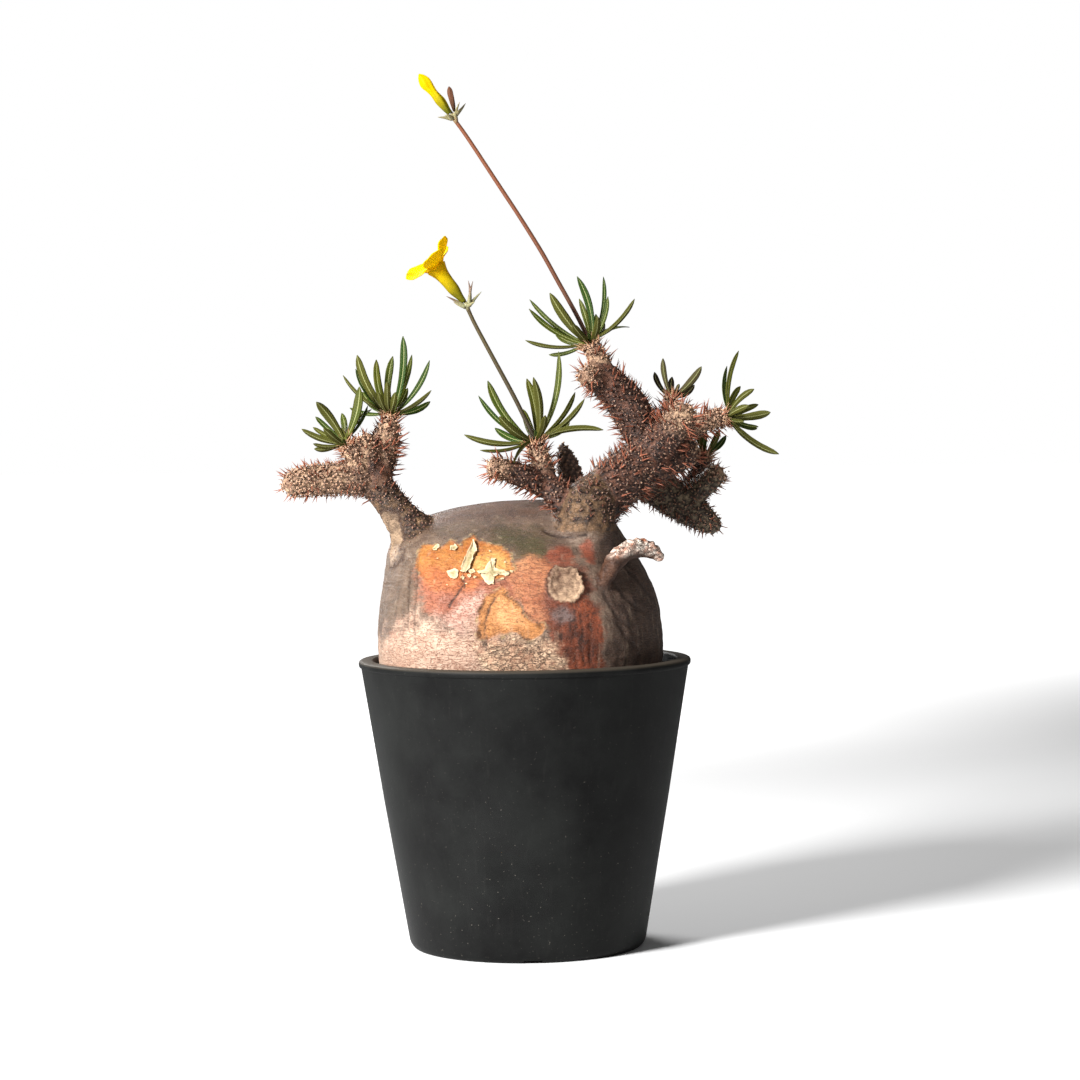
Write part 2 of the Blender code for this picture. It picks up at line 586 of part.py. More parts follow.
def leaf_blade(name, line, across, width, collection):
    """A folded blade with a keel, widest past its middle, ending in a point."""
    bm = bmesh.new()
    rings = []
    for i, (_, share) in enumerate(LEAF_STATIONS):
        ahead = (line[i + 1] - line[max(i - 1, 0)]).normalized()
        up = across.cross(ahead).normalized()
        half = width * share / 2
        rise = LEAF_FOLD * half
        spots = [
            line[i] - across * half + up * rise,
            line[i] + up * LEAF_THICKNESS * (1 - LEAF_KEEL),
            line[i] + across * half + up * rise,
            line[i] - up * LEAF_THICKNESS * LEAF_KEEL,
        ]
        rings.append([bm.verts.new(p) for p in spots])
    point = bm.verts.new(line[-1])
    for a, b in zip(rings, rings[1:]):
        for k in range(4):
            j = (k + 1) % 4
            bm.faces.new((a[k], a[j], b[j]))
            bm.faces.new((a[k], b[j], b[k]))
    for k in range(4):
        bm.faces.new((rings[-1][k], rings[-1][(k + 1) % 4], point))
    bm.faces.new(reversed(rings[0]))
    return mesh_object(name, bm, collection)


def make_rosette(name, collection, blades, cutters):
    """A crown with its leaves fused to it, and a plain hole where a flower stalk stands in it."""
    limb, radius, leaves = ROSETTES[name]
    tip, axis = tip_frame(limb)
    foot, top = tip - axis * CROWN_PEG, tip + axis * CROWN_RISE
    peg = (radius - CROWN_STEP) * MM
    crown = cylinder(name, foot, top, peg, CROWN_SIDES, collection, end_radius=radius * MM * CROWN_TAPER)
    for i, (angle, depth, length, width) in enumerate(leaves):
        line = leaf_line(limb, radius * MM, leaf_way(angle, depth), length * MM)
        leaf_blade(f"{name}_{i}", line, leaf_side(limb, angle, depth), width * MM, blades)
    boolean(crown, "UNION", blades)
    for rosette, path in STALKS.values():
        if rosette == name:
            start, then = mm(*path[0][:3]), mm(*path[1][:3])
            ahead = (then - start).normalized()
            low, high = start - ahead * 2 * GAP, start + ahead * STALK_HOLE_LENGTH
            cylinder("stalk_hole", low, high, STALK_HOLE_RADIUS, CROWN_SIDES, cutters)
            boolean(crown, "DIFFERENCE", cutters)
    return crown


def all_leaf_points():
    """Points along both edges and the midrib of every leaf, which the spines keep clear of."""
    found = []
    for limb, radius, leaves in ROSETTES.values():
        for angle, depth, length, width in leaves:
            across = leaf_side(limb, angle, depth) * width * MM / 2
            line = leaf_line(limb, radius * MM, leaf_way(angle, depth), length * MM)
            fine = [a.lerp(b, t) for a, b in zip(line, line[1:]) for t in (0, 0.25, 0.5, 0.75)]
            found += [p + across * s for p in fine for s in (-0.8, 0, 0.8)]
    return np.array(found)


def make_plant_body(collection, extras, cutters):
    """Caudex, limbs, callus and spines in one piece, with a socket in each limb that bears a rosette."""
    body = caudex_mesh("plant_body", collection)
    paths = {name: domed_path(points, LIMB_STEPS) for name, points in LIMBS.items()}
    for name, path in paths.items():
        tube(name, path, limb_resolution(path), extras)
    tube("horn", domed_path(HORN, LIMB_STEPS), 2, extras)
    centre = mm(*SCAR_CENTRE)
    inward = Vector(SCAR_INWARD).normalized()
    start, end = centre + inward * SCAR_ROOT, centre - inward * SCAR_RISE
    cylinder("scar", start, end, SCAR_RADIUS, SCAR_SIDES, extras, end_radius=SCAR_TOP_RADIUS)
    boolean(body, "UNION", extras)
    leaf_points = all_leaf_points()
    count = 0
    for name, path in paths.items():
        if name == SPINE_FREE_LIMB:
            continue
        for spot, way in spine_spots(name, path, paths):
            tip = spot + way * SPINE_LENGTH
            if near_leaf(spot, tip, leaf_points):
                continue
            root = spot - way * SPINE_ROOT
            cylinder(f"spine_{count}", root, tip, SPINE_RADIUS, 3, extras, end_radius=0)
            count += 1
    boolean(body, "UNION", extras, solver="MANIFOLD")
    for limb, radius, _ in ROSETTES.values():
        tip, axis = tip_frame(limb)
        start, end = tip - axis * (CROWN_PEG + GAP), tip + axis * 3 * MM
        cylinder(f"socket_{limb}", start, end, (radius - CROWN_STEP) * MM + GAP * 1.2, CROWN_SIDES, cutters)
    return boolean(body, "DIFFERENCE", cutters, solver="MANIFOLD")


def stalk_head(points):
    """The centre of the round head that ends a stalk, and the stalk's way there."""
    head, before = mm(*points[-1][:3]), mm(*points[-2][:3])
    return head, (head - before).normalized()


def head_radius(points):
    return points[-1][3] * MM


def seat_on(points, way):
    """Where a corolla that points a given way sits on a stalk's head."""
    head, _ = stalk_head(points)
    return head + Vector(way).normalized() * (head_radius(points) + GAP)


def make_stalk(name, collection, extras):
    """A flower stalk with its round head and the narrow sepals and bracts about it."""
    path = domed_path(STALKS[name][1], 2)
    stalk = tube(name, path, 2, collection)
    head, ahead = stalk_head(STALKS[name][1])
    for i, (angle, depth, length) in enumerate(SEPALS[name]):
        way = leaf_way(angle, depth)
        flat = (way - ahead * way.dot(ahead)).normalized()
        root = head + flat * head_radius(STALKS[name][1]) * SEPAL_ROOT - ahead * SEPAL_RADIUS
        end = root + way * length * MM
        cylinder(f"{name}_sepal_{i}", root, end, SEPAL_RADIUS, 4, extras, end_radius=SEPAL_TIP_RADIUS)
    if name == "stalk_tall":
        tube("side_stalk", domed_path(SIDE_STALK, 1), 1, extras)
    return boolean(stalk, "UNION", extras)


def petal_blade(name, centre, axis, out, spread, roll, collection):
    """One corolla lobe: a broad thin blade that turns outwards from the throat."""
    bm = bmesh.new()
    flat = axis.cross(out).normalized()
    rings = []
    for t, share in PETAL_OUTLINE:
        bend = math.radians(spread) * min(1, 0.25 + t * 1.5)
        ahead = (axis * math.cos(bend) + out * math.sin(bend)).normalized()
        rolled = Matrix.Rotation(math.radians(roll) * t, 3, ahead)
        across = rolled @ flat
        up = rolled @ (axis * math.sin(bend) - out * math.cos(bend)).normalized()
        middle = centre + ahead * PETAL_LENGTH * t + out * PETAL_ROOT_OUT
        middle += across * PETAL_WIDTH * PETAL_SKEW * t
        half = PETAL_WIDTH * share / 2
        spots = [(-1, 0.5), (0, 0.5), (1, 0.5), (1, -0.5), (0, -0.5), (-1, -0.5)]
        cup = half * PETAL_CUP
        rings.append(
            [
                bm.verts.new(middle + across * half * side + up * (FLOWER_WALL * face + cup * abs(side)))
                for side, face in spots
            ]
        )
    for a, b in zip(rings, rings[1:]):
        for k in range(6):
            j = (k + 1) % 6
            bm.faces.new((a[k], a[j], b[j]))
            bm.faces.new((a[k], b[j], b[k]))
    bm.faces.new(reversed(rings[0]))
    bm.faces.new(rings[-1])
    return mesh_object(name, bm, collection)


def make_flower(collection, extras):
    """The open corolla: a hollow turned tube with five lobes."""
    axis = Vector(FLOWER_AXIS).normalized()
    turn = axis.to_track_quat("Z", "Y").to_matrix().to_4x4()
    place = Matrix.Translation(seat_on(STALKS["stalk_short"][1], axis)) @ turn
    outer = [(r * MM, z * MM) for z, r in reversed(FLOWER_TUBE)]
    inner = [(r * MM - FLOWER_WALL, z * MM) for z, r in FLOWER_TUBE[2:]]
    profile = [(0, FLOWER_TUBE[2][0] * MM - FLOWER_WALL)] + inner + outer + [(0, 0)]
    flower = turned("flower_open", profile, FLOWER_SIDES, collection)
    flower.data.transform(place)
    upper = Vector(FLOWER_UPPER_SIDE)
    side = (upper - axis * axis.dot(upper)).normalized()
    other = axis.cross(side)
    throat = place @ mm(0, 0, FLOWER_TUBE[-1][0] - THROAT_DEPTH)
    for i, (spread, roll) in enumerate(PETALS):
        a = math.radians(PETAL_TURN + 360 * i / len(PETALS))
        out = side * math.cos(a) + other * math.sin(a)
        petal_blade(f"petal_{i}", throat, axis, out, spread, roll, extras)
    return boolean(flower, "UNION", extras)


def make_bud(name, stalk_points, collection):
    """A closed corolla: a spindle with five furrows that wind about it."""
    way, length, profile = BUDS[name]
    axis = Vector(way).normalized()
    bm = bmesh.new()
    bmesh.ops.create_cone(bm, cap_ends=True, segments=BUD_SIDES, radius1=1, radius2=1, depth=1)
    sides = [e for e in bm.edges if abs(e.verts[0].co.z - e.verts[1].co.z) > 0.5]
    bmesh.ops.subdivide_edges(bm, edges=sides, cuts=BUD_RINGS, use_grid_fill=False)
    rows = np.array(profile)
    for vert in bm.verts:
        share = vert.co.z + 0.5
        radius = float(np.interp(share, rows[:, 0], rows[:, 1])) * MM
        angle = math.atan2(vert.co.y, vert.co.x)
        radius *= 1 + BUD_FURROW_DEPTH * math.cos(BUD_FURROWS * angle)
        angle += math.radians(BUD_TWIST) * share
        vert.co = (radius * math.cos(angle), radius * math.sin(angle), share * length * MM)
    turn = axis.to_track_quat("Z", "Y").to_matrix().to_4x4()
    bmesh.ops.transform(bm, matrix=Matrix.Translation(seat_on(stalk_points, axis)) @ turn, verts=bm.verts)
    return mesh_object(name, bm, collection)


def finish(obj, material):
    obj.data.materials.clear()
    obj.data.materials.append(material)
    obj.data.shade_smooth()
    obj.data.set_sharp_from_angle(angle=math.radians(35))
    return obj


def main():
    clear_scene()
    scene = bpy.context.scene.collection
    plant = make_collection("potted_pachypodium", scene)
    extras = make_collection("joined", scene)
    cutters = make_collection("cutters", scene)
    materials = {name: make_material(name) for name in COLOURS}

    finish(make_pot(plant, cutters), materials["pot_plastic"])
    finish(make_soil(plant, cutters), materials["soil_mix"])
    finish(make_plant_body(plant, extras, cutters), materials["bark"])
    for name in ROSETTES:
        finish(make_rosette(name, plant, extras, cutters), materials["leaf"])
    for name in STALKS:
        finish(make_stalk(name, plant, extras), materials["stalk"])
    finish(make_flower(plant, extras), materials["petal"])
    finish(make_bud("bud_large", STALKS["stalk_tall"][1], plant), materials["petal"])
    finish(make_bud("bud_small", SIDE_STALK, plant), materials["small_bud"])


main()
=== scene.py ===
"""Looks for a potted pachypodium: a fat peeling caudex, spiny branches, leaf rosettes and two flower stalks in a
black plastic pot. The tables are in millimetres, the meshes in metres, +Z up, with -Y the side that shows best."""

import math

import bmesh
import bpy
import numpy as np
from mathutils import Matrix, Vector, noise
from mathutils.bvhtree import BVHTree
from mathutils.kdtree import KDTree


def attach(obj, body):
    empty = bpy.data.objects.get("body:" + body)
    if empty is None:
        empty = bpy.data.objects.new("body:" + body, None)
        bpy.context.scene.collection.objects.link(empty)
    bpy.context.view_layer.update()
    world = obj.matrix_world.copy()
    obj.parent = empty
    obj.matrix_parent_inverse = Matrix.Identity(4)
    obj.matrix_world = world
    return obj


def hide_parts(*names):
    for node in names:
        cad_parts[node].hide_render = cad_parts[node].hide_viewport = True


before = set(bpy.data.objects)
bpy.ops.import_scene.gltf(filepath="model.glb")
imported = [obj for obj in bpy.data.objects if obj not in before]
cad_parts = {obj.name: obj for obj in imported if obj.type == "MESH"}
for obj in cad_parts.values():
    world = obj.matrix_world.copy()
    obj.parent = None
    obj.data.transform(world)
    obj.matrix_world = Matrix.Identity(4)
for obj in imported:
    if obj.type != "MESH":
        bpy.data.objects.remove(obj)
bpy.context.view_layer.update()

MM = 0.001
BODY = "root"
GOLDEN_ANGLE = math.pi * (3 - math.sqrt(5))
SEED = 7

# Pot
RIM_RADIUS = 75
POT_HEIGHT = 130
FOOT_RADIUS = 53
RIM_WIDTH = 6.8
RIM_BAND = 3.2
RIM_PROUD = 0.6
FLOOR_TOP = 5.2
FOOT_RECESS = 1.6
FOOT_RING_WIDTH = 6
CENTRE_PAD_RADIUS = 10
POT_SEGMENTS = 180
DRAIN_HOLES = 6
DRAIN_RADIUS = 4.5
DRAIN_CIRCLE = 28
FOOT_NOTCHES = 4
NOTCH_WIDTH = 8

# Soil
SOIL_LEVEL = 114
SOIL_CUT = 108

# Caudex: level sections as (height, half width, half depth, centre x, centre y).
CAUDEX_SECTIONS = [
    (94, 49, 46, -2, 0),
    (105, 56.5, 53, -2, 0),
    (116, 61.2, 57, -2, 0),
    (125, 63.4, 59, -1.9, 0),
    (134, 64.3, 60, -1.8, 0),
    (144, 64, 60, -2.1, 0),
    (153, 63, 58.6, -2.3, 0),
    (161, 61.3, 56, -2.8, 0.2),
    (169, 58.9, 52.6, -4, 0.5),
    (177, 56, 47, -5.6, 1),
    (184, 52.6, 39.5, -6.6, 2),
    (190, 47.6, 31, -5.6, 3),
    (195, 40, 22, -2.4, 4),
    (198.6, 29, 14, 1, 4),
    (200.8, 15, 7.5, 4, 4),
    (201.5, 0, 0, 5, 4),
]
CAUDEX_SQUARENESS = 2.25
CAUDEX_RINGS = 90
CAUDEX_SEGMENTS = 120

# Limbs: the centreline of each branch, root to tip, as (x, y, z, radius).
LIMBS = {
    "west_stem": [(-37, -8, 171, 18), (-47.2, -8, 184, 12.8), (-54.6, -8, 194.4, 8.6), (-60.3, -8, 202, 7.6),
                  (-64.4, -8, 208, 7.6), (-66, -8, 214, 7.6)],
    "west_arm": [(-65, -8, 210, 6), (-72, -9, 212, 7.8), (-80, -11, 212.3, 7.5), (-90, -14, 211.7, 7.1),
                 (-98, -17, 211.2, 6.7), (-101.5, -18.4, 210.4, 6)],
    "west_tall": [(-66, -8, 211, 7.6), (-64.4, -6, 218, 7.4), (-62.4, -4, 226, 7), (-60.6, -2, 232, 5.8),
                  (-60.1, -1.6, 235, 5)],
    "west_short": [(-66, -8, 214, 6), (-72, -12, 220, 5.6), (-76, -15, 224.4, 4.8)],
    "west_knob": [(-66, -9, 213, 6), (-69, -11, 221, 6), (-71.2, -12.4, 227, 5.4)],
    "trunk": [(31, -15, 164, 20), (29, -19, 177, 15.8), (27.5, -21, 188, 14.7), (28.5, -19, 197, 13.2),
              (33, -14, 203, 11.4)],
    "centre_fork": [(26, -19, 190, 8), (20, -20, 199, 7), (14, -19.5, 205.5, 6.4), (10, -19, 210, 5.8)],
    "centre_arm": [(12, -19, 206, 5), (5, -21, 210.3, 5.6), (-3, -24.4, 214, 5.5), (-9, -27.2, 216, 5.2),
                   (-11.6, -28.4, 216.6, 4.8)],
    "centre_tall": [(13, -19, 205, 5), (10.6, -18.6, 212, 5), (8.4, -18.2, 219, 4.8), (7.2, -18, 223, 4.6)],
    "centre_cone": [(26, -8, 197, 5), (22.8, -4, 205, 6), (21, -1, 214, 5.4), (19.2, 0.4, 221, 3.9),
                    (18.2, 1, 225, 2.2)],
    "main_limb": [(27, -16, 194, 12), (36, -12, 203.5, 12.2), (45, -7.6, 211, 11.8), (54, -4.6, 218, 10.8),
                  (60, -4, 224, 9.4)],
    "knob_arm": [(55, -4, 219, 8.6), (63, -9, 228, 8), (68.6, -14, 235, 7.3), (71, -16, 237.6, 6.8)],
    "lower_arm": [(48, -1, 212, 9), (59, -1, 216, 8.8), (68, 0, 219.6, 7.8), (73.5, 0, 222.4, 6.6)],
    "back_shoot": [(60, 0, 224, 5), (64, 4, 231, 4.8), (66, 8, 239, 4.5), (67, 9.6, 242.5, 4.3)],
    "top_limb": [(57, -1, 222, 8.4), (53.5, -2, 232, 9), (47.5, -4, 243.6, 9), (41, -5, 251, 8.5),
                 (36, -6, 257, 7.4), (34.5, -6, 259, 6.4)],
    "top_knob": [(38, -6, 253, 6.4), (33.5, -9.5, 255.5, 6.2), (30.4, -11.6, 256.4, 5.6)],
    "top_tall": [(38, -5.5, 255, 6.2), (35.8, -6, 261, 5.5), (33, -6, 266.8, 4.7)],
    "east_arm": [(62, 4, 224, 5), (72, 12, 229.5, 5), (80, 14.4, 234, 4.8), (86, 13.5, 236.2, 4.7),
                 (88.8, 12.8, 236.8, 4.6)],
    "low_limb": [(41, 0, 206, 9), (50, 15, 208.4, 8), (58, 21.6, 206.4, 7.8), (66, 24, 202.2, 8.6),
                 (73, 24.4, 198, 8.6), (80, 24, 193, 7.2), (86, 23.4, 188.6, 5.2)],
    "low_arm": [(70, 23, 200, 6), (77, 21, 202.5, 6), (83, 18.6, 207, 5.7), (87.6, 17, 211, 5.3)],
    "low_shoot": [(72, 25, 200, 5), (78, 28, 207, 4.9), (81.5, 30, 213, 4.5), (82.8, 31, 216.4, 4.3)],
}
LIMB_SIDES = 28
SCALY_LIMB = "centre_cone"
OLIVE_LIMBS = ("low_limb", "low_arm")
SPINE_SHARE = {"west_arm": 0.7, "west_short": 0.75, "west_knob": 0.8, "low_limb": 0.7, "low_arm": 0.7}

# How far branches reach on past the end of a limb that forks, and how much of a limb is pale and woolly from its tip.
REACH_PAST = {"west_stem": 62, "trunk": 70, "centre_fork": 18, "main_limb": 26, "low_limb": 20}
PALE_RUN = {"west_arm": 46, "west_tall": 26, "west_short": 18, "west_knob": 14, "top_tall": 16, "top_knob": 9,
            "centre_tall": 15, "centre_arm": 12, "east_arm": 28, "knob_arm": 15, "back_shoot": 8}

# Callus horn and the round scar of a lost branch.
HORN = [(34.6, -43, 163, 2.6), (36.6, -44.4, 168.5, 3.6), (40, -43, 175, 4.2), (46, -39, 179.6, 4.4),
        (52, -35, 180.8, 4.2), (57, -33, 179, 3.6), (60, -32, 176.8, 2.6)]
SCAR_CENTRE = (18.5, -51.8, 165.8)
SCAR_INWARD = (-0.3, 1, -0.36)
SCAR_RADIUS = 8.2

# Leaf rosettes: the limb, the side of the crown, and the leaves as (angle in the XZ plane, angle away from the
# viewer, length, width).
ROSETTES = {
    "leaves_west_upper": ("west_tall", 2.6, [
        (138, -8, 28, 2.6), (126, 18, 28, 3), (117, -12, 31.5, 5.2), (104, 24, 29, 4.2), (87, 10, 27.5, 4),
        (80, 2, 36.5, 4.2), (71, 30, 34, 3), (54, 6, 31, 3.2), (31, -10, 22.5, 2.8), (90, -52, 25, 4),
        (72, -56, 20, 3.6), (112, -50, 18, 3.2), (60, 52, 24, 3.6), (140, 48, 26, 3.8), (20, 38, 24, 3.6),
        (168, 30, 22, 3.2)]),
    "leaves_west_lower": ("west_short", 2.4, [
        (160, -4, 20.5, 3.8), (178, -22, 15, 2.4), (152, 14, 17, 2.6), (137, 10, 18.5, 3), (123, -10, 23, 5),
        (76, 12, 27, 5.4), (60, 20, 21, 2.2), (54, 34, 23, 3.8), (188, -6, 14, 3.4), (100, 50, 22, 4),
        (140, -48, 17, 3.6)]),
    "leaves_centre": ("centre_tall", 3.2, [
        (173, -6, 32, 3.4), (187, -14, 25.5, 2.6), (140, 14, 34, 2.8), (127, 6, 35, 4.4), (143, -38, 25, 5),
        (97, 16, 30, 4.4), (91, -10, 29.5, 4.6), (75, 4, 42, 3.8), (51, 22, 31, 2.8), (41, -8, 29.5, 3.2),
        (10, -8, 31, 4.2), (222, -50, 20, 3.6), (110, 58, 30, 4.2), (30, 50, 28, 4), (160, 46, 28, 4),
        (70, -54, 22, 4)]),
    "leaves_top": ("top_tall", 3.2, [
        (176, -14, 30, 2.4), (193, 18, 20, 2.6), (149, 6, 32, 3.4), (142, 26, 38, 2.6), (128, -18, 30.5, 5),
        (133, -50, 18, 4.4), (100, 8, 31.5, 4), (102, 34, 26, 3.2), (78, 44, 20, 3), (78, 22, 34, 2.4),
        (69, 2, 23, 3.2), (45, -4, 28.5, 2.8), (60, 60, 26, 3.8), (160, 54, 28, 3.8), (24, 40, 26, 3.4),
        (75, -56, 22, 3.8)]),
    "leaves_back": ("back_shoot", 2.2, [
        (102, -6, 19, 3), (64, -20, 8, 2.2), (47, -8, 20, 4), (120, 44, 20, 3.4), (30, 50, 20, 3.4),
        (84, 62, 22, 3.6)]),
    "leaves_east": ("east_arm", 2.5, [
        (79, 6, 31, 3), (88, 20, 25, 3.2), (46, -10, 18, 3.4), (6, -8, 20, 4.6), (-14, -40, 10, 2.6),
        (-17, 10, 15.5, 2.4), (-36, -6, 29, 4.6), (20, 46, 24, 3.8), (62, 48, 24, 3.8), (-20, 44, 22, 3.6),
        (30, -54, 18, 3.6)]),
    "leaves_low": ("low_shoot", 2.3, [
        (103, -4, 13, 3.4), (60, -6, 13.5, 3.6), (84, 46, 18, 3.4), (40, 40, 18, 3.4), (130, 36, 17, 3.2)]),
}
LEAF_ARCH = 0.08
LEAF_TURN = 1.5
LEAF_ROOT_SHARE = 0.62
LEAF_ROOT_RISE = 1.15
LEAF_OUTLINE = [(0, 0.34), (0.12, 0.5), (0.32, 0.8), (0.55, 0.95), (0.76, 0.95), (0.89, 0.74), (0.96, 0.42), (1, 0.1)]
LEAF_WIDTH_SHARE = 0.88
LEAF_STATIONS = 17
LEAF_COLUMNS = 6
LEAF_THICKNESS = 0.42
LEAF_FOLD = 0.22

# Flower stalks: the path of each, base to top, as (x, y, z, radius), and the narrow sepals about its head as
# (angle, angle away from the viewer, length).
STALKS = {
    "stalk_tall": [
        (31, -6, 272, 1.05), (24.5, -6, 285.2, 1), (17, -6, 299, 1), (9.7, -6, 312.4, 1),
        (0.2, -6, 328, 0.95), (-9.2, -6, 342.6, 0.95), (-22.2, -6, 362.8, 0.9), (-28.2, -6, 371.4, 0.95),
        (-29.5, -6, 373.2, 1.6)],
    "stalk_short": [
        (6, -18, 228.5, 1.05), (1.7, -18, 237.4, 1), (-3.5, -18, 248.2, 1), (-12.9, -18, 266, 0.95),
        (-20, -18, 279.6, 0.9), (-23.2, -18, 286.6, 0.95), (-23.9, -18, 288.6, 1.6)],
}
SIDE_STALK = [(-27.6, -6.2, 370.4, 0.7), (-27.8, -7.6, 372.4, 0.8), (-28.3, -8.6, 374, 0.9)]
SEPALS = {
    "stalk_tall": [
        (175, -20, 6.6), (150, 30, 4.6), (72, 30, 8.6), (52, 25, 8.8), (112, 34, 5.6), (150, -52, 5)],
    "stalk_short": [
        (150, -16, 10), (155, 34, 7.4), (48, 10, 8.6), (91, 8, 11.4), (80, -8, 11.2), (112, 34, 7.6),
        (30, -46, 5)],
}

# Corollas
FLOWER_AXIS = (-0.62, 0, 0.785)
FLOWER_UPPER_SIDE = (0.79, 0, 0.61)
FLOWER_TUBE = [(0, 1.3), (3, 1.7), (7, 2.6), (12, 2.8), (16, 3.4), (19.5, 4.8)]
THROAT_DEPTH = 1.4
PETAL_TURN = -15
PETALS = [(42, -8), (60, 0), (50, 8), (62, -32), (62, 4)]
PETAL_LENGTH = 13.5
PETAL_WIDTH = 11.4
PETAL_ROOT_OUT = 2.6
PETAL_SKEW = 0.12
PETAL_CUP = 0.14
PETAL_OUTLINE = [(0, 0.42), (0.2, 0.62), (0.38, 0.82), (0.6, 0.97), (0.78, 1), (0.9, 0.86), (1, 0.42)]
BUDS = {
    "bud_large": ((-0.611, 0, 0.792), 22.2, [
        (0, 0.9), (0.1, 1.5), (0.3, 2.1), (0.5, 1.7), (0.62, 2), (0.78, 2.6), (0.92, 1.6), (1, 0.3)]),
    "bud_small": ((-0.2, -0.02, 0.98), 11.4, [
        (0, 0.5), (0.2, 0.9), (0.5, 1.15), (0.75, 1.25), (0.9, 0.9), (1, 0.2)]),
}
BUD_FURROWS = 5
BUD_TWIST = 70

